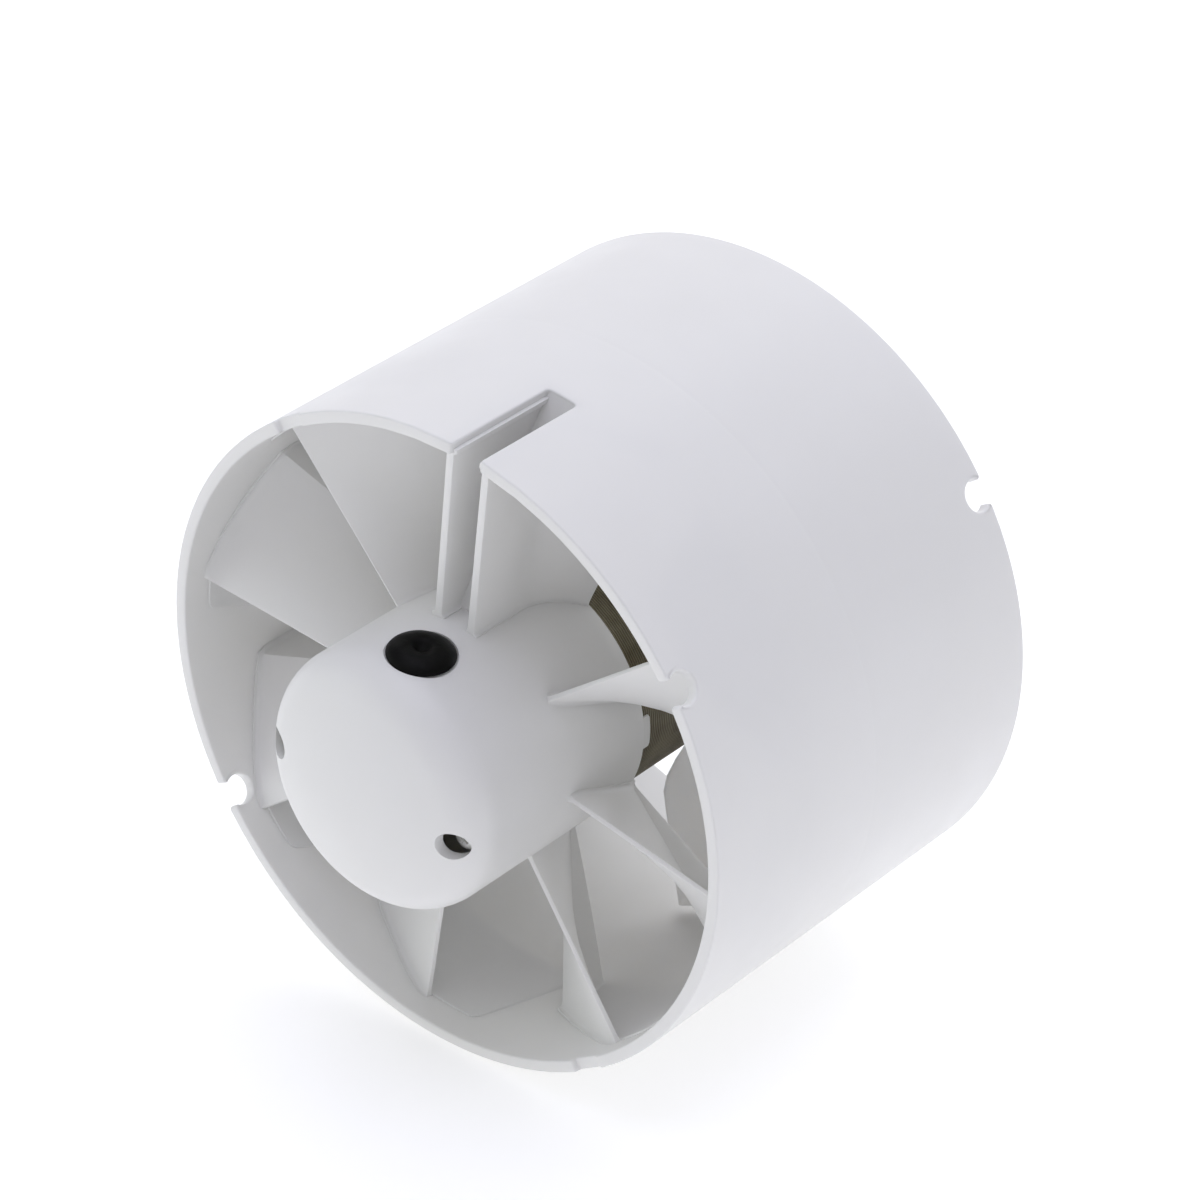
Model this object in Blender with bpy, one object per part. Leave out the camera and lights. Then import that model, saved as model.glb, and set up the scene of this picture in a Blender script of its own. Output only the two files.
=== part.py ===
"""Inline duct extractor fan, 125 mm: one white ABS casing that holds a small two-pole motor in a domed
barrel, eight guide vanes, a cable channel with a rubber grommet, and an impeller at the inlet end.

The duct axis is Y. The air leaves at -Y, where the dome is, and enters at +Y, past the impeller. The
origin is on the axis at the middle of the tube, and +Z is up. Angles run from +X towards +Z.
Lengths are in millimetres up to the last step, where MM turns them into metres.
"""

import math

import bmesh
import bpy
from mathutils import Matrix, Vector

MM = 0.001

# Duct tube
TUBE_R = 62.5
TUBE_WALL = 2.3
TUBE_BORE_R = TUBE_R - TUBE_WALL
TUBE_HALF = 42.3
RIM_CHAMFER = 0.5
TUBE_STEPS = 80

# Motor barrel and its dome
BARREL_R = 24.3
BARREL_WALL = 2.0
BARREL_REAR_Y = -15.5
SHOULDER_Y = -53.0
SHOULDER_FILLET = 8.6
DOME_RISE = 3.4
BARREL_STEPS = 48
REAR_TAB_ANGLES = (0.0, 180.0)
REAR_TAB_HALF_ANGLE = 7.5
REAR_TAB_Y = -13.8
REAR_TAB_RADII = (23.8, 24.25)

# Guide vanes: each one leaves its front edge along the axis, turns, and ends in a flat land
VANE_ANGLES = (37.5, -7.5, -52.5, -97.5, -142.5, 172.5, 127.5)
VANE_HUB_SWEEPS = (18.5, 23.0, 22.0, 22.0, 22.0, 22.0, 22.0)
VANE_EDGE_THICKNESS = 0.8
VANE_THICKNESS = 1.5
VANE_FRONT_HUB_Y = -35.2
VANE_FRONT_WALL_Y = -37.0
VANE_REAR_Y = -15.0
VANE_WALL_SWEEP = 24.0
LAND_START_WALL_Y = -24.6
VANE_ROOT_OVERLAP = 0.9
VANE_SPAN_STEPS = 3
VANE_CHORD_STEPS = 6

# Cable channel: two plates from the barrel to a slot in the tube wall, with a sloping floor
CHANNEL_ANGLE = 82.5
PLATE_THICKNESS = 1.5
LEFT_PLATE_HUB_OFFSET = 5.3
LEFT_PLATE_WALL_OFFSET = 3.9
RIGHT_PLATE_HUB_OFFSET = -2.0
RIGHT_PLATE_WALL_OFFSET = -3.9
PLATE_FRONT_HUB_Y = -38.6
FLOOR_HUB_Y = -33.6
FLOOR_END_R = 61.9
FLOOR_END_Y = -17.3
FLOOR_THICKNESS = 1.6
CABLE_SLOT_WIDTH = 6.4
CABLE_SLOT_END_Y = -18.1
RIGHT_VANE_SWEEP = 15.0
RIGHT_VANE_TURN_Y = -27.0

# Bayonet notches in the two rims
KEYHOLE_ANGLES_FRONT = (-147.6, 32.6)
KEYHOLE_ANGLES_REAR = (-147.4, 32.8)
KEYHOLE_R = 2.9
KEYHOLE_DEPTH = 5.4
KEYHOLE_NECK = 4.6
SHALLOW_NOTCH_ANGLES = (-56.6, 122.0)
SHALLOW_NOTCH_WIDTH = 6.3
SHALLOW_NOTCH_DEPTH = 1.0

# Free space between pieces that touch in the real fan
PART_GAP = 0.3

# Grommet and the hole it sits in
GROMMET_ANGLE = 82.6
GROMMET_Y = -48.6
GROMMET_HOLE_R = 4.6
GROMMET_NECK_R = 4.3
GROMMET_HEAD_R = 6.1
GROMMET_HEAD_RISE = 2.1
GROMMET_INNER_R = 5.4
GROMMET_SEAT_DEPTH = 0.9
GROMMET_SEAT_GAP = 0.25

# Motor, turned so that its poles line up with the two housing screws
MOTOR_ROLL = -5.0
HOUSING_SCREW_CIRCLE = 19.9
RECESS_R = 2.65
RECESS_FLOOR_Y = -55.4
SCREW_HOLE_R = 1.75
SCREW_BOSS_R = 3.6
SCREW_BOSS_END_Y = -26.6
SCREW_SHANK_R = 1.35
SCREW_HEAD_R = 2.35
SCREW_HEAD_HEIGHT = 1.8
STACK_R = 23.0
STACK_FRONT_Y = -15.2
STACK_LENGTH = 23.7
STACK_REAR_Y = STACK_FRONT_Y + STACK_LENGTH
YOKE_INNER_R = 19.6
SHOE_OUTER_R = 13.4
ROTOR_R = 11.0
AIR_GAP = 0.4
POLE_WIDTH = 9.0
SHOE_OPENING = 7.0
BOBBIN_RADIAL = (13.75, 16.6)
BOBBIN_OUTSET = 1.0
WINDING_RADIAL = (13.9, 16.4)
WINDING_OUTSET = 4.6
WINDING_CORNER_R = 2.4
BOLT_CIRCLE = 18.0
BOLT_LUG_WIDTH = 7.0
BOLT_LUG_INNER = 15.2
BOLT_R = 1.4
BOLT_HOLE_R = 1.7
BOLT_HEAD_R = 2.6
BOLT_HEAD_HEIGHT = 1.8
BOLT_TAIL = 4.4
SPACER_R = 2.9
NUT_R = 3.0
NUT_HEIGHT = 2.4
BRACKET_R = 22.0
BRACKET_PLATE = 1.6
BRACKET_WINDOW_R = 5.4
BRACKET_WINDOW_CIRCLE = 14.2
FRONT_BRACKET_Y = -24.6
REAR_BRACKET_Y = 15.6
BEARING_BORE_R = 2.05
BEARING_R = 4.4
BEARING_SEAT_R = 4.7
BEARING_BOSS_R = 6.8
BEARING_LENGTH = 7.0
SHAFT_R = 2.0
SHAFT_FRONT_Y = -33.0
SHAFT_REAR_Y = 37.5
ROTOR_BARS = 9
BAR_CIRCLE = 9.4
BAR_R = 0.75
BAR_HOLE_R = 0.95
CAGE_RING_INNER_R = 6.8
CAGE_RING_LENGTH = 2.8
WASHER_R = 4.2
WASHER_THICKNESS = 0.6

# Wiring inside the dome
TERMINAL_RADIAL = (6.2, 13.4)
TERMINAL_Y = (-43.5, -36.5)
TERMINAL_HALF_LENGTH = 7.0
TERMINAL_OFFSETS = (-3.4, 3.4)
TERMINAL_WELL_R = 2.1
TERMINAL_WELL_DEPTH = 3.0
TERMINAL_SCREW_R = 1.7
TERMINAL_SCREW_LENGTH = 2.0
FUSE_R = 1.4
FUSE_LENGTH = 8.0
FUSE_CIRCLE = 14.5
FUSE_Y = -27.2
LEAD_R = 0.75

# Impeller
IMPELLER_HUB_R = 24.0
IMPELLER_HUB_WALL = 1.8
IMPELLER_FRONT_Y = 10.0
IMPELLER_REAR_Y = 34.0
IMPELLER_NOSE_FILLET = 4.0
IMPELLER_BOSS_R = 5.0
IMPELLER_BORE_R = 2.15
IMPELLER_BOSS_FRONT_Y = 21.5
IMPELLER_TIP_R = 58.9
CLIP_R = 4.6
CLIP_HEIGHT = 1.3
BLADES = 5
BLADE_FRONT_Y = 12.0
BLADE_REAR_Y = 33.0
BLADE_FIRST_ANGLE = -80.5
BLADE_WRAP_HUB = 26.0
BLADE_WRAP_TIP = 34.0
BLADE_THICKNESS = 1.8
BLADE_ROOT_RELIEF = 8.0
BLADE_RELIEF_END_R = 36.0
BLADE_ROOT_OVERLAP = 1.0
BLADE_CAMBER = 0.1
BLADE_CHORD_STEPS = 6

MATERIALS = {
    "white_abs": ((0.80, 0.81, 0.82), 0.38, 0.0),
    "black_rubber": ((0.012, 0.013, 0.012), 0.55, 0.0),
    "zinc_steel": ((0.62, 0.62, 0.60), 0.32, 1.0),
    "lamination_steel": ((0.075, 0.068, 0.045), 0.62, 0.7),
    "galvanised_steel": ((0.50, 0.51, 0.50), 0.42, 1.0),
    "sintered_bronze": ((0.42, 0.27, 0.13), 0.50, 1.0),
    "nylon": ((0.86, 0.83, 0.74), 0.50, 0.0),
    "enamelled_copper": ((0.55, 0.22, 0.08), 0.35, 0.8),
    "ground_steel": ((0.66, 0.66, 0.66), 0.20, 1.0),
    "cast_aluminium": ((0.70, 0.70, 0.71), 0.40, 1.0),
    "red_fibre": ((0.40, 0.09, 0.06), 0.65, 0.0),
    "spring_steel": ((0.20, 0.20, 0.21), 0.35, 1.0),
    "brass": ((0.66, 0.50, 0.22), 0.30, 1.0),
    "blue_pvc": ((0.03, 0.12, 0.42), 0.45, 0.0),
    "brown_pvc": ((0.16, 0.07, 0.03), 0.45, 0.0),
    "white_impeller_abs": ((0.78, 0.79, 0.80), 0.40, 0.0),
}


def clear_scene():
    for obj in list(bpy.data.objects):
        bpy.data.objects.remove(obj, do_unlink=True)


def make_material(name):
    colour, roughness, metallic = MATERIALS[name]
    material = bpy.data.materials.get(name) or bpy.data.materials.new(name)
    material.use_nodes = True
    shader = material.node_tree.nodes["Principled BSDF"]
    shader.inputs["Base Color"].default_value = (*colour, 1.0)
    shader.inputs["Roughness"].default_value = roughness
    shader.inputs["Metallic"].default_value = metallic
    material.diffuse_color = (*colour, 1.0)
    return material


def add_object(name, bm, material=None, parent=None, smooth_angle=35.0):
    """Writes the bmesh, which is in millimetres, to a new object in metres."""
    bmesh.ops.scale(bm, vec=(MM, MM, MM), verts=bm.verts)
    bmesh.ops.recalc_face_normals(bm, faces=bm.faces)
    limit = math.radians(smooth_angle)
    for face in bm.faces:
        face.smooth = True
    for edge in bm.edges:
        edge.smooth = len(edge.link_faces) == 2 and edge.calc_face_angle(0.0) < limit
    mesh = bpy.data.meshes.new(name)
    bm.to_mesh(mesh)
    bm.free()
    obj = bpy.data.objects.new(name, mesh)
    bpy.context.scene.collection.objects.link(obj)
    if material:
        mesh.materials.append(make_material(material))
    obj.parent = parent
    return obj


def add_cutter(name, bm):
    cutter = add_object(name, bm)
    cutter.hide_render = True
    cutter.display_type = "WIRE"
    return cutter


def combine(obj, other, operation):
    modifier = obj.modifiers.new(other.name, "BOOLEAN")
    modifier.operation = operation
    modifier.object = other
    modifier.solver = "EXACT"


def cut(obj, name, bm):
    combine(obj, add_cutter(name, bm), "DIFFERENCE")


def fuse(obj, name, bm):
    combine(obj, add_cutter(name, bm), "UNION")


def polar(radius, angle, y=0.0):
    turn = math.radians(angle)
    return Vector((radius * math.cos(turn), y, radius * math.sin(turn)))


def arc(centre_r, centre_y, radius, start, end, steps):
    """Points (r, y) of an arc in the half-plane of a turned outline. 0 degrees points away from the axis."""
    points = []
    for step in range(steps + 1):
        turn = math.radians(start + (end - start) * step / steps)
        points.append((centre_r + radius * math.cos(turn), centre_y + radius * math.sin(turn)))
    return points


def turned(outline, steps, closed=True):
    """A solid of revolution about Y. An open outline begins and ends on the axis."""
    bm = bmesh.new()
    verts = [bm.verts.new((radius, y, 0.0)) for radius, y in outline]
    edges = [bm.edges.new(pair) for pair in zip(verts, verts[1:])]
    if closed:
        edges.append(bm.edges.new((verts[-1], verts[0])))
    bmesh.ops.spin(
        bm,
        geom=verts + edges,
        cent=(0.0, 0.0, 0.0),
        axis=(0.0, 1.0, 0.0),
        angle=math.tau,
        steps=steps,
        use_merge=True,
    )
    bmesh.ops.remove_doubles(bm, verts=bm.verts, dist=1e-4)
    return bm


def cylinder_along_y(radius, front_y, rear_y, steps=24, angle=0.0, circle=0.0):
    """A cylinder parallel to the duct axis, on a circle round it."""
    middle = polar(circle, angle, (front_y + rear_y) / 2)
    place = Matrix.Translation(middle) @ Matrix.Rotation(math.radians(90.0), 4, "X")
    return cylinder_at(place, radius, abs(rear_y - front_y), steps)


def cylinder_at(place, radius, length, steps=20):
    """A cylinder along the local Z axis of a placing matrix."""
    bm = bmesh.new()
    bmesh.ops.create_cone(
        bm, cap_ends=True, segments=steps, radius1=radius, radius2=radius, depth=length, matrix=place
    )
    return bm


def radial_place(angle, distance, y):
    """Matrix that puts the local Z axis along the radial direction of an angle."""
    turn = Matrix.Rotation(math.radians(-angle), 4, "Y")
    return turn @ Matrix.Translation((distance, y, 0.0)) @ Matrix.Rotation(math.radians(90.0), 4, "Y")


def ring_along_y(outer, inner, front_y, rear_y, steps=32):
    return turned([(inner, front_y), (outer, front_y), (outer, rear_y), (inner, rear_y)], steps)


def ring_sector(outer, inner, front_y, rear_y, start, end):
    """A piece of a ring about Y between two angles."""
    bm = bmesh.new()
    section = ((inner, front_y), (outer, front_y), (outer, rear_y), (inner, rear_y))
    ends = [[bm.verts.new(polar(radius, angle, y)) for radius, y in section] for angle in (start, end)]
    bm.faces.new(ends[0])
    bm.faces.new(reversed(ends[1]))
    for i in range(4):
        j = (i + 1) % 4
        bm.faces.new((ends[0][j], ends[0][i], ends[1][i], ends[1][j]))
    return bm


def tangent_box(angle, low, high):
    """A box in the frame (radial, Y, tangential) of an angle, from corner low to corner high."""
    bm = bmesh.new()
    size = Vector(high) - Vector(low)
    middle = (Vector(high) + Vector(low)) / 2
    place = Matrix.Rotation(math.radians(-angle), 4, "Y") @ Matrix.Translation(middle)
    bmesh.ops.create_cube(bm, size=1.0, matrix=place @ Matrix.Diagonal((*size, 1.0)))
    return bm


def prism(corners, half_thickness):
    """A plate through the corners, thickened to both sides by the vector half_thickness."""
    bm = bmesh.new()
    sides = []
    for sign in (-1.0, 1.0):
        sides.append([bm.verts.new(corner + half_thickness * sign) for corner in corners])
    bm.faces.new(sides[0])
    bm.faces.new(reversed(sides[1]))
    count = len(corners)
    for i in range(count):
        j = (i + 1) % count
        bm.faces.new((sides[0][j], sides[0][i], sides[1][i], sides[1][j]))
    return bm


def thick_sheet(grid, thickness, edge_thickness=None):
    """A closed solid round a grid of points. The first column may be thinner than the rest."""
    rows, columns = len(grid), len(grid[0])
    halves = [thickness / 2] * columns
    if edge_thickness:
        halves[0] = edge_thickness / 2
    layers = {}
    bm = bmesh.new()
    for sign in (-1.0, 1.0):
        for i in range(rows):
            for j in range(columns):
                along = grid[min(i + 1, rows - 1)][j] - grid[max(i - 1, 0)][j]
                across = grid[i][min(j + 1, columns - 1)] - grid[i][max(j - 1, 0)]
                normal = along.cross(across).normalized()
                layers[sign, i, j] = bm.verts.new(grid[i][j] + normal * halves[j] * sign)
    for sign in (-1.0, 1.0):
        for i in range(rows - 1):
            for j in range(columns - 1):
                corners = [(i, j), (i + 1, j), (i + 1, j + 1), (i, j + 1)]
                bm.faces.new([layers[sign, a, b] for a, b in corners])
    border = [(i, 0) for i in range(rows)]
    border += [(rows - 1, j) for j in range(1, columns)]
    border += [(i, columns - 1) for i in range(rows - 2, -1, -1)]
    border += [(0, j) for j in range(columns - 2, 0, -1)]
    for here, after in zip(border, border[1:] + border[:1]):
        bm.faces.new(
            (layers[-1.0, *here], layers[-1.0, *after], layers[1.0, *after], layers[1.0, *here])
        )
    return bm


def lerp(low, high, fraction):
    return low + (high - low) * fraction


def vane_sheet(front_angle, hub_sweep):
    """Grid of a guide vane: it turns as it runs back, sooner at the wall than at the barrel."""
    grid = []
    for row in range(VANE_SPAN_STEPS + 1):
        span = row / VANE_SPAN_STEPS
        radius = lerp(BARREL_R - VANE_ROOT_OVERLAP, TUBE_BORE_R + VANE_ROOT_OVERLAP, span)
        front_y = lerp(VANE_FRONT_HUB_Y, VANE_FRONT_WALL_Y, span)
        land_y = lerp(VANE_REAR_Y - 0.8, LAND_START_WALL_Y, span)
        sweep = lerp(hub_sweep, VANE_WALL_SWEEP, span)
        line = []
        for column in range(VANE_CHORD_STEPS):
            chord = column / (VANE_CHORD_STEPS - 1)
            line.append(polar(radius, front_angle - sweep * chord, lerp(front_y, land_y, chord)))
        line.append(polar(radius, front_angle - sweep, VANE_REAR_Y))
        grid.append(line)
    return grid


def channel_point(radial, offset, y):
    """A point at a radial distance along the channel's direction and an offset to its left."""
    along = polar(1.0, CHANNEL_ANGLE)
    left = polar(1.0, CHANNEL_ANGLE + 90.0)
    return along * radial + left * offset + Vector((0.0, y, 0.0))


def right_plate_sheet():
    """Grid of the channel's right plate, which carries on rearwards as the eighth guide vane."""
    turn = math.radians(RIGHT_VANE_SWEEP)
    grid = []
    for row in range(VANE_SPAN_STEPS + 1):
        span = row / VANE_SPAN_STEPS
        radial = lerp(BARREL_R - VANE_ROOT_OVERLAP, TUBE_BORE_R + VANE_ROOT_OVERLAP, span)
        offset = lerp(RIGHT_PLATE_HUB_OFFSET, RIGHT_PLATE_WALL_OFFSET, span)
        front = channel_point(radial, offset, lerp(PLATE_FRONT_HUB_Y, -TUBE_HALF + 0.8, span))
        line = [front]
        for column in range(VANE_CHORD_STEPS):
            chord = column / (VANE_CHORD_STEPS - 1)
            swept = Matrix.Rotation(turn * chord * chord, 4, "Y") @ front
            swept.y = lerp(RIGHT_VANE_TURN_Y, VANE_REAR_Y, chord)
            line.append(swept)
        grid.append(line)
    return grid


def barrel_outline(inset):
    """Outline (r, y) of the barrel's outside, moved inwards by inset, from its rear edge to the nose."""
    fillet_centre_r = BARREL_R - SHOULDER_FILLET
    fillet = SHOULDER_FILLET - inset
    cap_edge = arc(fillet_centre_r, SHOULDER_Y, fillet, 0.0, -72.0, 6)
    edge_r, edge_y = cap_edge[-1]
    nose_y = edge_y - DOME_RISE
    cap_r = (edge_r**2 + DOME_RISE**2) / (2 * DOME_RISE)
    cap_half = math.degrees(math.asin(edge_r / cap_r))
    cap = arc(0.0, nose_y + cap_r, cap_r, -90.0 + cap_half, -90.0, 4)[1:]
    cap[-1] = (0.0, nose_y)
    return [(BARREL_R - inset, BARREL_REAR_Y)] + cap_edge + cap


def keyhole(angle, end):
    """Cutter of one rim notch: a round hole with a neck that opens through the rim."""
    rim_y = end * TUBE_HALF
    centre_y = rim_y - end * (KEYHOLE_DEPTH - KEYHOLE_R)
    hole = cylinder_at(radial_place(angle, TUBE_R, centre_y), KEYHOLE_R, 12.0)
    return hole, sorted((centre_y, rim_y + end))


def build_casing(parent):
    tube = turned(
        [
            (TUBE_BORE_R, -TUBE_HALF + RIM_CHAMFER),
            (TUBE_BORE_R + RIM_CHAMFER, -TUBE_HALF),
            (TUBE_R - RIM_CHAMFER, -TUBE_HALF),
            (TUBE_R, -TUBE_HALF + RIM_CHAMFER),
            (TUBE_R, TUBE_HALF - RIM_CHAMFER),
            (TUBE_R - RIM_CHAMFER, TUBE_HALF),
            (TUBE_BORE_R + RIM_CHAMFER, TUBE_HALF),
            (TUBE_BORE_R, TUBE_HALF - RIM_CHAMFER),
        ],
        TUBE_STEPS,
    )
    casing = add_object("duct_casing", tube, "white_abs", parent)
    half_slot = CABLE_SLOT_WIDTH / 2
    slot_low = (TUBE_BORE_R - 3.0, -TUBE_HALF - 2.0, -half_slot)
    slot_high = (TUBE_R + 5.0, CABLE_SLOT_END_Y, half_slot)
    cut(casing, "cable_slot", tangent_box(CHANNEL_ANGLE, slot_low, slot_high))
    for index, (angle, hub_sweep) in enumerate(zip(VANE_ANGLES, VANE_HUB_SWEEPS)):
        vane = thick_sheet(vane_sheet(angle, hub_sweep), VANE_THICKNESS, VANE_EDGE_THICKNESS)
        fuse(casing, f"vane_{index + 1}", vane)
    fuse(casing, "channel_right_plate", thick_sheet(right_plate_sheet(), PLATE_THICKNESS))

    left = polar(1.0, CHANNEL_ANGLE + 90.0)
    hub, wall = BARREL_R - VANE_ROOT_OVERLAP, TUBE_BORE_R + VANE_ROOT_OVERLAP
    plate = [
        channel_point(hub - 0.6, LEFT_PLATE_HUB_OFFSET, PLATE_FRONT_HUB_Y + 0.6),
        channel_point(wall, LEFT_PLATE_WALL_OFFSET, -TUBE_HALF + 0.8),
        channel_point(wall, LEFT_PLATE_WALL_OFFSET, FLOOR_END_Y + FLOOR_THICKNESS),
        channel_point(hub - 0.6, LEFT_PLATE_HUB_OFFSET, FLOOR_HUB_Y + FLOOR_THICKNESS),
    ]
    fuse(casing, "channel_left_plate", prism(plate, left * PLATE_THICKNESS / 2))
    floor_sheet = []
    for radial, y, share in ((hub, FLOOR_HUB_Y, 0.0), (FLOOR_END_R, FLOOR_END_Y, 1.0)):
        offsets = (
            lerp(RIGHT_PLATE_HUB_OFFSET, RIGHT_PLATE_WALL_OFFSET, share),
            lerp(LEFT_PLATE_HUB_OFFSET, LEFT_PLATE_WALL_OFFSET, share),
        )
        floor_sheet.append([channel_point(radial, offset, y) for offset in offsets])
    fuse(casing, "channel_floor", thick_sheet(floor_sheet, FLOOR_THICKNESS))

    fuse(casing, "motor_barrel", turned_shell(barrel_outline(0.0), barrel_outline(BARREL_WALL)))
    for index, angle in enumerate(REAR_TAB_ANGLES):
        inner, outer = REAR_TAB_RADII
        for share in (-1.0, 0.0):
            start = angle + share * REAR_TAB_HALF_ANGLE
            tab = ring_sector(
                outer, inner, BARREL_REAR_Y - 2.0, REAR_TAB_Y, start, start + REAR_TAB_HALF_ANGLE
            )
            fuse(casing, f"barrel_rear_tab_{index + 1}_{'low' if share else 'high'}", tab)
    core_outline = barrel_outline(VANE_ROOT_OVERLAP) + [(0.0, BARREL_REAR_Y)]
    core = add_cutter("barrel_core", turned(core_outline, BARREL_STEPS, False))
    for side, angle in (("right", MOTOR_ROLL), ("left", MOTOR_ROLL + 180.0)):
        boss = add_cutter(
            f"screw_boss_{side}",
            cylinder_along_y(SCREW_BOSS_R, -62.5, SCREW_BOSS_END_Y, 24, angle, HOUSING_SCREW_CIRCLE),
        )
        combine(boss, core, "INTERSECT")
        combine(casing, boss, "UNION")
        cut(
            casing,
            f"screw_recess_{side}",
            cylinder_along_y(RECESS_R, -70.0, RECESS_FLOOR_Y, 24, angle, HOUSING_SCREW_CIRCLE),
        )
        cut(
            casing,
            f"screw_hole_{side}",
            cylinder_along_y(SCREW_HOLE_R, -70.0, SCREW_BOSS_END_Y + 2.0, 16, angle, HOUSING_SCREW_CIRCLE),
        )
    cut_casing_openings(casing)
    return casing


def turned_shell(outside, inside):
    """A cup turned about Y from two outlines (r, y) that both end on the axis at the nose."""
    bm = bmesh.new()
    verts = [bm.verts.new((radius, y, 0.0)) for radius, y in outside[::-1] + inside]
    edges = [bm.edges.new(pair) for pair in zip(verts, verts[1:])]
    bmesh.ops.spin(
        bm,
        geom=verts + edges,
        cent=(0.0, 0.0, 0.0),
        axis=(0.0, 1.0, 0.0),
        angle=math.tau,
        steps=BARREL_STEPS,
        use_merge=True,
    )
    bmesh.ops.remove_doubles(bm, verts=bm.verts, dist=1e-4)
    return bm


def cut_casing_openings(casing):
    for end, angles in ((-1.0, KEYHOLE_ANGLES_FRONT), (1.0, KEYHOLE_ANGLES_REAR)):
        for index, angle in enumerate(angles):
            name = f"keyhole_{'front' if end < 0 else 'rear'}_{index + 1}"
            hole, (low_y, high_y) = keyhole(angle, end)
            cut(casing, name, hole)
            half = KEYHOLE_NECK / 2
            cut(casing, name + "_neck", tangent_box(angle, (56.0, low_y, -half), (69.0, high_y, half)))
    for index, angle in enumerate(SHALLOW_NOTCH_ANGLES):
        half = SHALLOW_NOTCH_WIDTH / 2
        low = (56.0, -TUBE_HALF - 1.0, -half)
        high = (69.0, -TUBE_HALF + SHALLOW_NOTCH_DEPTH, half)
        cut(casing, f"shallow_notch_{index + 1}", tangent_box(angle, low, high))
    hole = radial_place(GROMMET_ANGLE, BARREL_R, GROMMET_Y)
    cut(casing, "grommet_hole", cylinder_at(hole, GROMMET_HOLE_R, 12.0, 32))
    seat_height = 10.0
    seat = radial_place(GROMMET_ANGLE, BARREL_R - GROMMET_SEAT_DEPTH + seat_height / 2, GROMMET_Y)
    cut(casing, "grommet_seat", cylinder_at(seat, GROMMET_HEAD_R + GROMMET_SEAT_GAP, seat_height, 40))


def build_grommet(parent):
    """A turned rubber plug: domed head with a dimple outside, neck in the hole, lip inside."""
    seat_r = BARREL_R - GROMMET_SEAT_DEPTH + PART_GAP
    inner_r = BARREL_R - BARREL_WALL - GROMMET_SEAT_DEPTH
    outline = [
        (0.0, seat_r + GROMMET_HEAD_RISE - 0.9),
        (1.0, seat_r + GROMMET_HEAD_RISE - 0.75),
        (1.7, seat_r + GROMMET_HEAD_RISE - 0.1),
        (3.0, seat_r + GROMMET_HEAD_RISE),
        (4.6, seat_r + GROMMET_HEAD_RISE - 0.45),
        (5.7, seat_r + GROMMET_HEAD_RISE - 1.2),
        (GROMMET_HEAD_R, seat_r + 0.3),
        (GROMMET_HEAD_R - 0.3, seat_r),
        (GROMMET_NECK_R, seat_r),
        (GROMMET_NECK_R, inner_r),
        (GROMMET_INNER_R, inner_r - 0.3),
        (GROMMET_INNER_R - 0.8, inner_r - 2.0),
        (0.0, inner_r - 2.2),
    ]
    bm = turned(outline, 28, closed=False)
    turn = Matrix.Rotation(math.radians(-GROMMET_ANGLE), 4, "Y")
    tip = Matrix.Rotation(math.radians(-90.0), 4, "Z")
    bmesh.ops.transform(bm, matrix=turn @ Matrix.Translation((0.0, GROMMET_Y, 0.0)) @ tip, verts=bm.verts)
    return add_object("cable_grommet", bm, "black_rubber", parent)


def build_screw(name, front_y, length, circle, angle, parent, head, shank_r):
    """A pan-head screw whose head, of a given (radius, height), faces -Y and has a cross recess."""
    head_r, head_height = head
    arm, half_width, depth = 0.49 * head_r, 0.13 * head_r, 0.9
    outline = [
        (0.0, front_y),
        (head_r * 0.72, front_y),
        (head_r, front_y + head_height * 0.45),
        (head_r, front_y + head_height),
        (shank_r, front_y + head_height),
        (shank_r, front_y + head_height + length - 0.5),
        (shank_r - 0.5, front_y + head_height + length),
        (0.0, front_y + head_height + length),
    ]
    bm = turned(outline, 20, closed=False)
    bmesh.ops.translate(bm, vec=polar(circle, angle), verts=bm.verts)
    screw = add_object(name, bm, "zinc_steel", parent)
    for index, (wide, narrow) in enumerate(((arm, half_width), (half_width, arm))):
        low = (circle - wide, front_y - 1.0, -narrow)
        high = (circle + wide, front_y + depth, narrow)
        cut(screw, f"{name}_cross_{index + 1}", tangent_box(angle, low, high))
    return screw


def build_stator(parent):
    stack = add_object(
        "stator_laminations",
        ring_along_y(STACK_R, YOKE_INNER_R, STACK_FRONT_Y, STACK_REAR_Y, 48),
        "lamination_steel",
        parent,
    )
    half = POLE_WIDTH / 2
    bore = ROTOR_R + AIR_GAP
    for index, angle in enumerate((MOTOR_ROLL, MOTOR_ROLL + 180.0)):
        low = (bore + 1.0, STACK_FRONT_Y, -half)
        fuse(stack, f"pole_{index + 1}", tangent_box(angle, low, (YOKE_INNER_R + 1.0, STACK_REAR_Y, half)))
    shoes = add_cutter("pole_shoes", ring_along_y(SHOE_OUTER_R, bore, STACK_FRONT_Y, STACK_REAR_Y, 40))
    for index, angle in enumerate((MOTOR_ROLL + 90.0, MOTOR_ROLL - 90.0)):
        low = (bore / 2, STACK_FRONT_Y - 1.0, -SHOE_OPENING)
        high = (SHOE_OUTER_R + 1.0, STACK_REAR_Y + 1.0, SHOE_OPENING)
        cut(shoes, f"shoe_opening_{index + 1}", tangent_box(angle, low, high))
    combine(stack, shoes, "UNION")
    for index, angle in enumerate((MOTOR_ROLL + 90.0, MOTOR_ROLL - 90.0)):
        half = BOLT_LUG_WIDTH / 2
        low = (BOLT_LUG_INNER, STACK_FRONT_Y, -half)
        high = (YOKE_INNER_R + 1.0, STACK_REAR_Y, half)
        fuse(stack, f"bolt_lug_{index + 1}", tangent_box(angle, low, high))
        hole = cylinder_along_y(
            BOLT_HOLE_R, STACK_FRONT_Y - 1.0, STACK_REAR_Y + 1.0, 16, angle, BOLT_CIRCLE
        )
        cut(stack, f"bolt_hole_{index + 1}", hole)
    return stack


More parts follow.
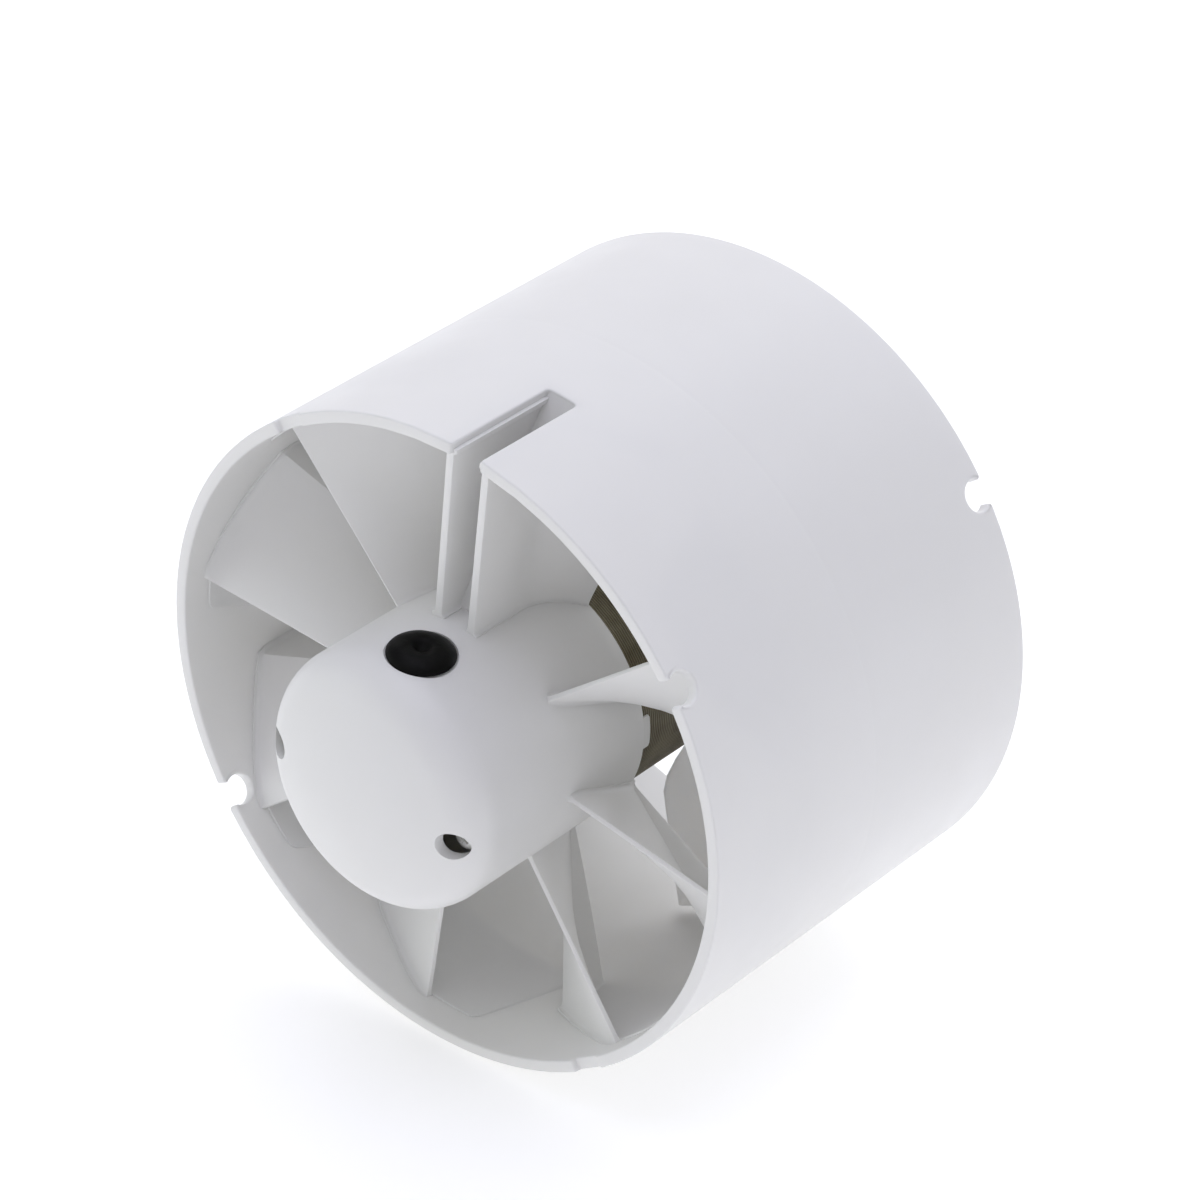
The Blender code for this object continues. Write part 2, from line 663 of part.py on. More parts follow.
def pole_block(angle, radial, outset):
    """A block round a pole: its radial extent, and how far it stands out from the pole on every side."""
    half = POLE_WIDTH / 2 + outset
    low = (radial[0], STACK_FRONT_Y - outset, -half)
    return tangent_box(angle, low, (radial[1], STACK_REAR_Y + outset, half))


def build_coils(parent):
    """A nylon bobbin and a copper winding round each of the two poles."""
    window = (BOBBIN_RADIAL[0] - 1.0, BOBBIN_RADIAL[1] + 1.0)
    for side, angle in (("right", MOTOR_ROLL), ("left", MOTOR_ROLL + 180.0)):
        bobbin = pole_block(angle, BOBBIN_RADIAL, BOBBIN_OUTSET)
        bobbin = add_object(f"coil_bobbin_{side}", bobbin, "nylon", parent)
        cut(bobbin, f"bobbin_window_{side}", pole_block(angle, window, PART_GAP))
        winding = pole_block(angle, WINDING_RADIAL, WINDING_OUTSET)
        bmesh.ops.bevel(
            winding,
            geom=[edge for edge in winding.edges if is_radial(edge, angle)],
            offset=WINDING_CORNER_R,
            segments=4,
            affect="EDGES",
        )
        winding = add_object(f"coil_winding_{side}", winding, "enamelled_copper", parent)
        cut(winding, f"winding_window_{side}", pole_block(angle, window, BOBBIN_OUTSET + PART_GAP))


def is_radial(edge, angle):
    direction = (edge.verts[1].co - edge.verts[0].co).normalized()
    return abs(direction.dot(polar(1.0, angle))) > 0.99


def build_bracket(name, plate_y, boss_side, parent):
    """A stamped plate with a bearing seat, two bolt holes and four windows."""
    low, high = sorted((plate_y, plate_y + BRACKET_PLATE * boss_side))
    plate = ring_along_y(BRACKET_R, BEARING_SEAT_R, low, high, 36)
    bracket = add_object(name, plate, "galvanised_steel", parent)
    boss_end = plate_y - boss_side * (BEARING_LENGTH - BRACKET_PLATE)
    boss_low, boss_high = sorted((boss_end, plate_y + BRACKET_PLATE * boss_side))
    fuse(bracket, name + "_boss", ring_along_y(BEARING_BOSS_R, BEARING_SEAT_R, boss_low, boss_high, 36))
    for index in range(4):
        angle = MOTOR_ROLL + 45.0 + 90.0 * index
        window = cylinder_along_y(
            BRACKET_WINDOW_R, low - 1.0, high + 1.0, 16, angle, BRACKET_WINDOW_CIRCLE
        )
        cut(bracket, f"{name}_window_{index + 1}", window)
    for index, angle in enumerate((MOTOR_ROLL + 90.0, MOTOR_ROLL - 90.0)):
        hole = cylinder_along_y(BOLT_HOLE_R, low - 1.0, high + 1.0, 16, angle, BOLT_CIRCLE)
        cut(bracket, f"{name}_bolt_hole_{index + 1}", hole)
    return bracket


def build_motor(parent):
    build_stator(parent)
    build_coils(parent)
    front = build_bracket("front_bracket", FRONT_BRACKET_Y, 1.0, parent)
    front_low, front_high = FRONT_BRACKET_Y, FRONT_BRACKET_Y + BRACKET_PLATE
    for side, angle in (("right", MOTOR_ROLL), ("left", MOTOR_ROLL + 180.0)):
        hole = cylinder_along_y(
            SCREW_SHANK_R + PART_GAP, front_low - 1.0, front_high + 1.0, 16, angle, HOUSING_SCREW_CIRCLE
        )
        cut(front, f"front_bracket_tapped_{side}", hole)
    build_bracket("rear_bracket", REAR_BRACKET_Y, -1.0, parent)
    front_bearing_y = FRONT_BRACKET_Y - (BEARING_LENGTH - BRACKET_PLATE)
    rear_bearing_y = REAR_BRACKET_Y - BRACKET_PLATE
    for name, low in (("front_bearing", front_bearing_y), ("rear_bearing", rear_bearing_y)):
        bearing = ring_along_y(BEARING_R, BEARING_BORE_R, low, low + BEARING_LENGTH, 24)
        add_object(name, bearing, "sintered_bronze", parent)
    for side, angle in (("upper", MOTOR_ROLL + 90.0), ("lower", MOTOR_ROLL - 90.0)):
        build_motor_bolt(side, angle, parent)


def build_motor_bolt(side, angle, parent):
    """A long bolt through both brackets and the stack, with a spacer tube on each side and a nut."""
    spans = (
        ("front", FRONT_BRACKET_Y + BRACKET_PLATE, STACK_FRONT_Y),
        ("rear", STACK_REAR_Y, REAR_BRACKET_Y - BRACKET_PLATE),
    )
    for place, low, high in spans:
        spacer = ring_along_y(SPACER_R, BOLT_HOLE_R, low + PART_GAP, high - PART_GAP, 16)
        bmesh.ops.translate(spacer, vec=polar(BOLT_CIRCLE, angle), verts=spacer.verts)
        add_object(f"bolt_spacer_{place}_{side}", spacer, "galvanised_steel", parent)
    head_y = FRONT_BRACKET_Y - BOLT_HEAD_HEIGHT - PART_GAP
    length = REAR_BRACKET_Y - FRONT_BRACKET_Y + BOLT_TAIL
    head = (BOLT_HEAD_R, BOLT_HEAD_HEIGHT)
    build_screw(f"motor_bolt_{side}", head_y, length, BOLT_CIRCLE, angle, parent, head, BOLT_R)
    nut_low = REAR_BRACKET_Y + PART_GAP
    nut_high = nut_low + NUT_HEIGHT
    nut = cylinder_along_y(NUT_R, nut_low, nut_high, 6, angle, BOLT_CIRCLE)
    nut = add_object(f"motor_nut_{side}", nut, "zinc_steel", parent)
    bore = cylinder_along_y(BOLT_HOLE_R, nut_low - 1.0, nut_high + 1.0, 16, angle, BOLT_CIRCLE)
    cut(nut, f"motor_nut_bore_{side}", bore)


def build_rotor(parent):
    """Shaft, laminated core with its cast cage of bars and end rings, and the two thrust washers."""
    add_object("rotor_shaft", shaft_mesh(), "ground_steel", parent)
    low, high = STACK_FRONT_Y + PART_GAP, STACK_REAR_Y - PART_GAP
    core = ring_along_y(ROTOR_R, SHAFT_R + 0.1, low, high, 32)
    core = add_object("rotor_core", core, "lamination_steel", parent)
    ring_gap, ring_r = 0.2, ROTOR_R - 0.2
    front_ring = ring_along_y(ring_r, CAGE_RING_INNER_R, low - ring_gap - CAGE_RING_LENGTH, low - ring_gap)
    cage = add_object("rotor_cage", front_ring, "cast_aluminium", parent)
    rear_ring = ring_along_y(ring_r, CAGE_RING_INNER_R, high + ring_gap, high + ring_gap + CAGE_RING_LENGTH)
    fuse(cage, "cage_rear_ring", rear_ring)
    reach = CAGE_RING_LENGTH / 2
    for index in range(ROTOR_BARS):
        angle = 360.0 / ROTOR_BARS * index
        hole = cylinder_along_y(BAR_HOLE_R, low - 1.0, high + 1.0, 8, angle, BAR_CIRCLE)
        cut(core, f"rotor_slot_{index + 1}", hole)
        bar = cylinder_along_y(BAR_R, low - reach, high + reach, 8, angle, BAR_CIRCLE)
        fuse(cage, f"cage_bar_{index + 1}", bar)
    washers = (
        ("thrust_washer_front", FRONT_BRACKET_Y + BRACKET_PLATE + WASHER_THICKNESS),
        ("thrust_washer_rear", REAR_BRACKET_Y - BRACKET_PLATE - 2 * WASHER_THICKNESS),
    )
    for name, washer_y in washers:
        washer = ring_along_y(WASHER_R, SHAFT_R + 0.1, washer_y, washer_y + WASHER_THICKNESS, 24)
        add_object(name, washer, "red_fibre", parent)


def shaft_mesh():
    return turned(
        [
            (0.0, SHAFT_FRONT_Y),
            (SHAFT_R - 0.3, SHAFT_FRONT_Y),
            (SHAFT_R, SHAFT_FRONT_Y + 0.3),
            (SHAFT_R, SHAFT_REAR_Y - 0.3),
            (SHAFT_R - 0.3, SHAFT_REAR_Y),
            (0.0, SHAFT_REAR_Y),
        ],
        24,
        closed=False,
    )


def blade_sheet(front_angle):
    """Grid of an impeller blade: flatter at the tip, and its front edge cut back towards the hub."""
    root_r = IMPELLER_HUB_R - BLADE_ROOT_OVERLAP
    grid = []
    for radius in (root_r, lerp(root_r, BLADE_RELIEF_END_R, 0.5), BLADE_RELIEF_END_R, IMPELLER_TIP_R):
        span = (radius - root_r) / (IMPELLER_TIP_R - root_r)
        wrap = lerp(BLADE_WRAP_HUB, BLADE_WRAP_TIP, span)
        relief = max(0.0, (BLADE_RELIEF_END_R - radius) / (BLADE_RELIEF_END_R - root_r))
        front_y = BLADE_FRONT_Y + BLADE_ROOT_RELIEF * relief**2
        line = []
        for column in range(BLADE_CHORD_STEPS + 1):
            y = lerp(front_y, BLADE_REAR_Y, column / BLADE_CHORD_STEPS)
            chord = (y - BLADE_FRONT_Y) / (BLADE_REAR_Y - BLADE_FRONT_Y)
            camber = chord + BLADE_CAMBER * math.sin(math.pi * chord)
            line.append(polar(radius, front_angle + wrap * camber, y))
        grid.append(line)
    return grid


def build_impeller(parent):
    """Cup-shaped hub, open towards the motor, with a boss for the shaft and the blades round it."""
    fillet = IMPELLER_NOSE_FILLET
    inner_fillet = fillet - IMPELLER_HUB_WALL
    centre_r, centre_y = IMPELLER_HUB_R - fillet, IMPELLER_REAR_Y - fillet
    floor_y = IMPELLER_REAR_Y - IMPELLER_HUB_WALL
    outline = [(IMPELLER_HUB_R, IMPELLER_FRONT_Y)]
    outline += arc(centre_r, centre_y, fillet, 0.0, 90.0, 4)
    outline += [(IMPELLER_BORE_R, IMPELLER_REAR_Y), (IMPELLER_BORE_R, IMPELLER_BOSS_FRONT_Y)]
    outline += [(IMPELLER_BOSS_R, IMPELLER_BOSS_FRONT_Y), (IMPELLER_BOSS_R, floor_y)]
    outline += arc(centre_r, centre_y, inner_fillet, 90.0, 0.0, 3)
    outline += [(IMPELLER_HUB_R - IMPELLER_HUB_WALL, IMPELLER_FRONT_Y)]
    impeller = add_object("impeller", turned(outline, 50), "white_impeller_abs", parent)
    for index in range(BLADES):
        angle = BLADE_FIRST_ANGLE + 360.0 / BLADES * index
        fuse(impeller, f"blade_{index + 1}", thick_sheet(blade_sheet(angle), BLADE_THICKNESS))
    build_clip(parent)
    return impeller


def build_clip(parent):
    """The spring clip that holds the impeller's boss on the shaft."""
    bore_r, low = SHAFT_R + 0.1, IMPELLER_REAR_Y + PART_GAP
    outline = [
        (bore_r, low),
        (CLIP_R, low),
        (CLIP_R, low + 0.5),
        (CLIP_R - 1.4, low + CLIP_HEIGHT),
        (bore_r, low + CLIP_HEIGHT),
    ]
    add_object("impeller_clip", turned(outline, 24), "spring_steel", parent)


def build_wiring(parent):
    """The terminal block under the grommet, its two screws, the thermal fuse and the two coil leads."""
    up = MOTOR_ROLL + 90.0
    low = (TERMINAL_RADIAL[0], TERMINAL_Y[0], -TERMINAL_HALF_LENGTH)
    block = tangent_box(up, low, (TERMINAL_RADIAL[1], TERMINAL_Y[1], TERMINAL_HALF_LENGTH))
    block = add_object("terminal_block", block, "nylon", parent)
    top = TERMINAL_RADIAL[1]
    terminal_y = sum(TERMINAL_Y) / 2
    for index, offset in enumerate(TERMINAL_OFFSETS):
        aside = Matrix.Translation(polar(offset, up + 90.0))
        well = cylinder_at(
            aside @ radial_place(up, top, terminal_y), TERMINAL_WELL_R, 2 * TERMINAL_WELL_DEPTH
        )
        cut(block, f"terminal_well_{index + 1}", well)
        sunk = top - TERMINAL_WELL_DEPTH + PART_GAP + TERMINAL_SCREW_LENGTH / 2
        screw = cylinder_at(
            aside @ radial_place(up, sunk, terminal_y), TERMINAL_SCREW_R, TERMINAL_SCREW_LENGTH
        )
        add_object(f"terminal_screw_{index + 1}", screw, "brass", parent)
    place = Matrix.Rotation(math.radians(45.0 - MOTOR_ROLL), 4, "Y")
    place = place @ Matrix.Translation((FUSE_CIRCLE, FUSE_Y, 0.0))
    add_object("thermal_fuse", cylinder_at(place, FUSE_R, FUSE_LENGTH), "cast_aluminium", parent)
    winding_front_y = STACK_FRONT_Y - WINDING_OUTSET
    leads = (
        ("coil_lead_blue", "blue_pvc", -30.0, TERMINAL_OFFSETS[0]),
        ("coil_lead_brown", "brown_pvc", 30.0, TERMINAL_OFFSETS[1]),
    )
    for name, material, aside, offset in leads:
        start = polar(10.2, up, TERMINAL_Y[1] + PART_GAP) + polar(offset, up + 90.0)
        middle = polar(13.5, up + aside, -30.0)
        end = polar(15.0, up + 1.55 * aside, winding_front_y - 0.5)
        add_lead(name, material, (start, middle, end), parent)


def add_lead(name, material, points, parent):
    curve = bpy.data.curves.new(name, "CURVE")
    curve.dimensions = "3D"
    curve.bevel_depth = LEAD_R * MM
    curve.bevel_resolution = 2
    curve.resolution_u = 5
    curve.use_fill_caps = True
    spline = curve.splines.new("BEZIER")
    spline.bezier_points.add(len(points) - 1)
    for knot, point in zip(spline.bezier_points, points):
        knot.co = point * MM
        knot.handle_left_type = "AUTO"
        knot.handle_right_type = "AUTO"
    curve.materials.append(make_material(material))
    lead = bpy.data.objects.new(name, curve)
    bpy.context.scene.collection.objects.link(lead)
    lead.parent = parent


def build_housing_screws(parent):
    for side, angle in (("right", MOTOR_ROLL), ("left", MOTOR_ROLL + 180.0)):
        head_y = RECESS_FLOOR_Y - SCREW_HEAD_HEIGHT - 0.2
        length = FRONT_BRACKET_Y - RECESS_FLOOR_Y + 1.4
        head = (SCREW_HEAD_R, SCREW_HEAD_HEIGHT)
        build_screw(
            f"housing_screw_{side}", head_y, length, HOUSING_SCREW_CIRCLE, angle, parent, head, SCREW_SHANK_R
        )


def add_axis(name):
    """An empty on the duct axis, with its Y axis along it."""
    axis = bpy.data.objects.new(name, None)
    axis.empty_display_size = 0.02
    bpy.context.scene.collection.objects.link(axis)
    return axis


def main():
    clear_scene()
    fixed = add_axis("fan_frame")
    spinning = add_axis("impeller_axis")
    build_casing(fixed)
    build_grommet(fixed)
    build_housing_screws(fixed)
    build_motor(fixed)
    build_wiring(fixed)
    build_rotor(spinning)
    build_impeller(spinning)


main()
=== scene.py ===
"""Looks of the 125 mm inline duct fan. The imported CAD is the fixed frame. Finer meshes stand in for the
moulding, the impeller, the grommet and the housing screws. The other CAD nodes get procedural materials.

The duct axis is Y, the outlet is at -Y, +Z is up, and angles run from +X towards +Z.
Lengths are millimetres until to_object turns them into metres.
"""

import math

import bmesh
import bpy
from mathutils import Matrix, Vector


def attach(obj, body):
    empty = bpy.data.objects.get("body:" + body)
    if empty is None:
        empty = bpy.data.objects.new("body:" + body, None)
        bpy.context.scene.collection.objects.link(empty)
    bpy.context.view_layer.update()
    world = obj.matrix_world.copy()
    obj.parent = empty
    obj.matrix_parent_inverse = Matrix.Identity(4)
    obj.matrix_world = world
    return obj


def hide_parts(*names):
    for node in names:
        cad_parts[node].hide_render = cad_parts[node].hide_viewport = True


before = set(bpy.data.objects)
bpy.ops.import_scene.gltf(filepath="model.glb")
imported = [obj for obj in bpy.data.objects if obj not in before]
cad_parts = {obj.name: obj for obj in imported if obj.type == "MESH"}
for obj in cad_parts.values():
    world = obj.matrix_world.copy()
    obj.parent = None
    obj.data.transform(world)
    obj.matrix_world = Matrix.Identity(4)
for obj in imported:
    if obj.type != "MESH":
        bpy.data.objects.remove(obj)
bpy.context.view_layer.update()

MM = 0.001
SHARP_ANGLE = 38.0
PART_GAP = 0.3

# Duct tube
TUBE_R = 62.5
BORE_R = 60.2
TUBE_HALF = 42.3
RIM_ROUND = 0.35
RIM_STEPS = 4
COLUMN_STEP = 1.5
FRONT_RING_Y = -10.0
REAR_RING_Y = 26.0
KNEE_Y = 33.0
SEAM_DEPTH = 0.014
KEYHOLE_R = 2.9
KEYHOLE_DEPTH = 5.4
KEYHOLE_NECK = 4.6
SLOT_WIDTH = 6.4
SLOT_DEPTH = 24.2
SHALLOW_WIDTH = 6.3
SHALLOW_DEPTH = 1.0
CHANNEL_ANGLE = 82.5

# Motor barrel
BARREL_R = 24.3
BARREL_WALL = 2.0
BARREL_REAR_Y = -15.5
SHOULDER_Y = -53.0
SHOULDER_FILLET = 8.6
DOME_RISE = 3.4
BARREL_STEPS = 144
REAR_TAB_ANGLES = (0.0, 180.0)
REAR_TAB_HALF_ANGLE = 7.5
REAR_TAB_STEPS = 10
REAR_TAB_Y = -13.8
REAR_TAB_RADII = (23.8, 24.25)
MOTOR_ROLL = -5.0
SCREW_CIRCLE = 19.9
RECESS_R = 2.65
RECESS_FLOOR_Y = -55.4
SCREW_BOSS_R = 3.6
SCREW_BOSS_END_Y = -26.6
SCREW_HOLE_R = 2.1
SCREW_HEAD_R = 2.35
SCREW_HEAD_HEIGHT = 1.8
SCREW_HEAD_DROP = 0.2
SCREW_SHANK_R = 1.35
SCREW_SHANK_LENGTH = 33.0
CROSS_TURN = 27.0

# Guide vanes: front angle and how far each one turns at the barrel
VANES = (
    (37.5, 18.5),
    (-7.5, 23.0),
    (-52.5, 22.0),
    (-97.5, 22.0),
    (-142.5, 22.0),
    (172.5, 22.0),
    (127.5, 22.0),
)
VANE_THICKNESS = 1.5
VANE_EDGE = 0.8
VANE_FRONT_HUB_Y = -35.2
VANE_FRONT_WALL_Y = -37.0
VANE_REAR_Y = -15.0
VANE_WALL_SWEEP = 24.0
LAND_START_WALL_Y = -24.6
ROOT_FILLET = 1.1
ROOT_OVERLAP = 0.9
LAND_HUB_DEPTH = 0.8

# Raised pads that the mould leaves on the bore beside the vanes: vane angle and front width in degrees
PADS = ((37.5, 8.5), (-7.5, 8.5), (-52.5, 8.5), (-97.5, 9.7), (-142.5, 8.5), (172.5, 6.7), (127.5, 8.5))
PAD_RISE = 0.25
PAD_FRONT_Y = -36.3
PAD_REAR_Y = -15.3
PAD_SLANT = 0.38
PAD_CORNER = 1.5

# Cable channel
PLATE_THICKNESS = 1.5
PLATE_FILLET = 0.8
LEFT_PLATE = (5.3, 3.9)
RIGHT_PLATE = (-2.0, -3.9)
PLATE_FRONT_HUB_Y = -38.6
FLOOR_HUB_Y = -33.6
FLOOR_END_R = 61.9
FLOOR_END_Y = -17.3
FLOOR_THICKNESS = 1.6
RIGHT_VANE_SWEEP = 15.0
RIGHT_VANE_TURN_Y = -27.0

# Grommet
GROMMET_ANGLE = 82.6
GROMMET_Y = -48.6
GROMMET_SEAT_R = 6.35
GROMMET_SEAT_DEPTH = 0.9
GROMMET_HOLE_R = 4.6

# Impeller
HUB_R = 24.0
HUB_WALL = 1.8
HUB_FRONT_Y = 10.0
HUB_REAR_Y = 34.0
BLADE_TIP_R = 58.9
BLADES = 5
BLADE_FRONT_Y = 12.0
BLADE_REAR_Y = 33.0
BLADE_FIRST_ANGLE = -80.5
BLADE_WRAP = (26.0, 34.0)
BLADE_THICKNESS = 1.8
BLADE_ROOT_RELIEF = 8.0
BLADE_RELIEF_END_R = 36.0
BLADE_TIP_HALF = 0.62
BLADE_CORNER = 0.4
BLADE_FILLET = 1.6
HUB_FILLET = 4.0

# Camera
CAMERA_BACK = (0.5497, -0.6439, 0.5322)
CAMERA_RIGHT = (0.7605, 0.6493, 0.0)
CAMERA_OFFSET = (0.7097, 8.369, 829.70)
CAMERA_LENS = 140.6

# Light
FILL_COLOUR = (0.88, 0.88, 1.0)
FILL_STRENGTH = 0.395
BACKDROP_STRENGTH = 1.05
FLOOR_R = 6000.0
FLOOR_GLOW = 0.36
LIGHT_DISTANCE = 1.5
LIGHT_SIZE = 1.5
SOFT_LIGHTS = (
    ("top", (0.0, 0.0, 1.0), 8.3, (0.85, 0.855, 1.0)),
    ("left_front", (-0.75, -0.6, 0.25), 4.2, (0.91, 1.0, 0.88)),
    ("front_top", (0.0, -0.7, 0.7), 1.2, (1.0, 0.93, 0.85)),
    ("right_front", (0.7, -0.6, 0.35), 0.9, (0.96, 1.0, 0.84)),
    ("rear", (0.0, 1.0, 0.4), 4.0, (0.985, 1.0, 0.985)),
    ("rear_left", (-0.6, 0.8, 0.3), 2.4, (1.0, 0.945, 0.91)),
    ("rear_high", (0.0, 1.0, 1.0), 2.4, (0.985, 1.0, 0.985)),
    ("rear_left_high", (-0.7, 0.8, 0.8), 2.4, (0.985, 1.0, 0.985)),
    ("rear_right", (0.6, 0.8, 0.5), 1.3, (0.985, 1.0, 0.985)),
)


def polar(radius, angle, y=0.0):
    turn = math.radians(angle)
    return Vector((radius * math.cos(turn), y, radius * math.sin(turn)))


def lerp(low, high, fraction):
    return low + (high - low) * fraction


def arc(centre, radius, start, end, steps):
    """Points of an arc in a plane, from the start angle to the end angle in degrees."""
    points = []
    for step in range(steps + 1):
        turn = math.radians(lerp(start, end, step / steps))
        points.append((centre[0] + radius * math.cos(turn), centre[1] + radius * math.sin(turn)))
    return points


# ---------------------------------------------------------------- meshes


def to_object(name, bm, materials=()):
    bmesh.ops.remove_doubles(bm, verts=bm.verts, dist=1e-4)
    bmesh.ops.recalc_face_normals(bm, faces=bm.faces)
    bmesh.ops.scale(bm, vec=(MM, MM, MM), verts=bm.verts)
    mesh = bpy.data.meshes.new(name)
    bm.to_mesh(mesh)
    bm.free()
    mesh.polygons.foreach_set("use_smooth", [True] * len(mesh.polygons))
    mesh.set_sharp_from_angle(angle=math.radians(SHARP_ANGLE))
    for material in materials:
        mesh.materials.append(material)
    obj = bpy.data.objects.new(name, mesh)
    bpy.context.scene.collection.objects.link(obj)
    return obj


def loft(rings, closed_rings=True, wrap=False):
    """A skin over rings of points. Without wrap, a strip of quads closes the first and the last ring."""
    bm = bmesh.new()
    verts = [[bm.verts.new(point) for point in ring] for ring in rings]
    count = len(rings[0])
    last = len(rings) if wrap else len(rings) - 1
    for i in range(last):
        here, after = verts[i], verts[(i + 1) % len(rings)]
        for j in range(count if closed_rings else count - 1):
            k = (j + 1) % count
            bm.faces.new((here[j], here[k], after[k], after[j]))
    if not wrap:
        for ring in (verts[0], verts[-1]):
            for j in range(count // 2 - 1):
                bm.faces.new((ring[j], ring[j + 1], ring[count - 2 - j], ring[count - 1 - j]))
    return bm


def turned(outline, steps, closed=False):
    """A solid of revolution about Y from points (radius, y). An open outline begins and ends on the axis."""
    rings = [[polar(radius, 360.0 * k / steps, y) for radius, y in outline] for k in range(steps)]
    return loft(rings, closed_rings=closed, wrap=True)


def to_axis(angle, distance=0.0, y=0.0):
    """Turns the Y axis of a turned solid outwards along the radial direction of an angle."""
    place = Matrix.Rotation(math.radians(-angle), 4, "Y") @ Matrix.Translation((distance, y, 0.0))
    return place @ Matrix.Rotation(math.radians(-90.0), 4, "Z")


def moved(bm, matrix):
    bmesh.ops.transform(bm, matrix=matrix, verts=bm.verts)
    return bm


def boolean(obj, cutters, operation):
    """Applies a Boolean with each cutter, and removes the cutters."""
    for cutter in cutters:
        modifier = obj.modifiers.new("boolean", "BOOLEAN")
        modifier.operation = operation
        modifier.object = cutter
        modifier.solver = "EXACT"
    bake(obj)
    for cutter in cutters:
        bpy.data.objects.remove(cutter, do_unlink=True)


def bake(obj):
    """Replaces the object's mesh with what its modifiers make of it."""
    graph = bpy.context.evaluated_depsgraph_get()
    mesh = bpy.data.meshes.new_from_object(obj.evaluated_get(graph), depsgraph=graph)
    obj.modifiers.clear()
    obj.data = mesh


# ---------------------------------------------------------------- duct tube


def mirrored(path):
    return path + [(-s, depth) for s, depth in reversed(path)]


def keyhole_path():
    half, centre = KEYHOLE_NECK / 2, KEYHOLE_DEPTH - KEYHOLE_R
    corner = arc((-half - 0.7, 0.7), 0.7, -90.0, 0.0, 4)
    start = math.degrees(math.acos(-half / KEYHOLE_R))
    hole = arc((0.0, centre), KEYHOLE_R, 360.0 - start, 96.0, 11)
    return mirrored([(-half - 1.6, 0.0)] + corner + hole)


def slot_path():
    half = SLOT_WIDTH / 2
    path = [(-half - 2.0, 0.0)] + arc((-half - 0.7, 0.7), 0.7, -90.0, 0.0, 4)
    path += [(-half, 2.0 + 2.1 * step) for step in range(11)]
    path += arc((-half + 0.8, SLOT_DEPTH - 0.8), 0.8, 180.0, 90.0, 4)
    return mirrored(path + [(-1.2, SLOT_DEPTH)])


def shallow_path():
    half, depth = SHALLOW_WIDTH / 2, SHALLOW_DEPTH
    path = [(-half - 1.5, 0.0)] + arc((-half - 0.55, 0.55), 0.55, -90.0, 0.0, 4)
    path += arc((-half + 0.4, depth - 0.4), 0.4, 180.0, 90.0, 3)
    return mirrored(path + [(-1.0, depth)])


def rim_loops():
    """One column per entry: points (arc length, y) of the outlet rim and the inlet rim, the arc length of the
    rings between them, and whether the column belongs to a keyhole."""
    per_degree = math.radians(TUBE_R)
    features = [
        (-147.6, 9.0, keyhole_path(), keyhole_path()),
        (-56.6, 8.0, shallow_path(), None),
        (32.6, 9.0, keyhole_path(), keyhole_path()),
        (CHANNEL_ANGLE, 16.0, slot_path(), None),
        (122.0, 8.0, shallow_path(), None),
    ]
    front, middle, rear, knees = [], [], [], []
    for index, (angle, half, front_path, rear_path) in enumerate(features):
        centre = angle * per_degree
        path = front_path or rear_path
        for column in range(len(path)):
            even = centre + lerp(-half, half, column / (len(path) - 1))
            middle.append(even)
            knees.append(rear_path is not None)
            for loop, shape, end in ((front, front_path, -1.0), (rear, rear_path, 1.0)):
                if shape:
                    offset, depth = shape[column]
                    if column in (0, len(path) - 1):
                        offset = math.copysign(lerp(abs(offset), half, 0.6), offset)
                    loop.append((centre + offset, end * (TUBE_HALF - depth)))
                else:
                    loop.append((even, end * TUBE_HALF))
        following = features[(index + 1) % len(features)]
        low = centre + half
        high = following[0] * per_degree - following[1]
        if high < low:
            high += 360.0 * per_degree
        steps = round((high - low) / COLUMN_STEP)
        for step in range(1, steps):
            even = lerp(low, high, step / steps)
            middle.append(even)
            knees.append(False)
            front.append((even, -TUBE_HALF))
            rear.append((even, TUBE_HALF))
    return front, middle, rear, knees


def inset(loop, distance, side):
    """The loop moved into the wall by the distance. The side says on which hand the wall lies."""
    turn = math.radians(TUBE_R) * 360.0
    result = []
    count = len(loop)
    for index, (s, y) in enumerate(loop):
        before, after = loop[index - 1], loop[(index + 1) % count]
        ds = after[0] - before[0]
        ds -= turn * round(ds / turn)
        dy = after[1] - before[1]
        length = math.hypot(ds, dy)
        result.append((s - side * dy / length * distance, y + side * ds / length * distance))
    return result


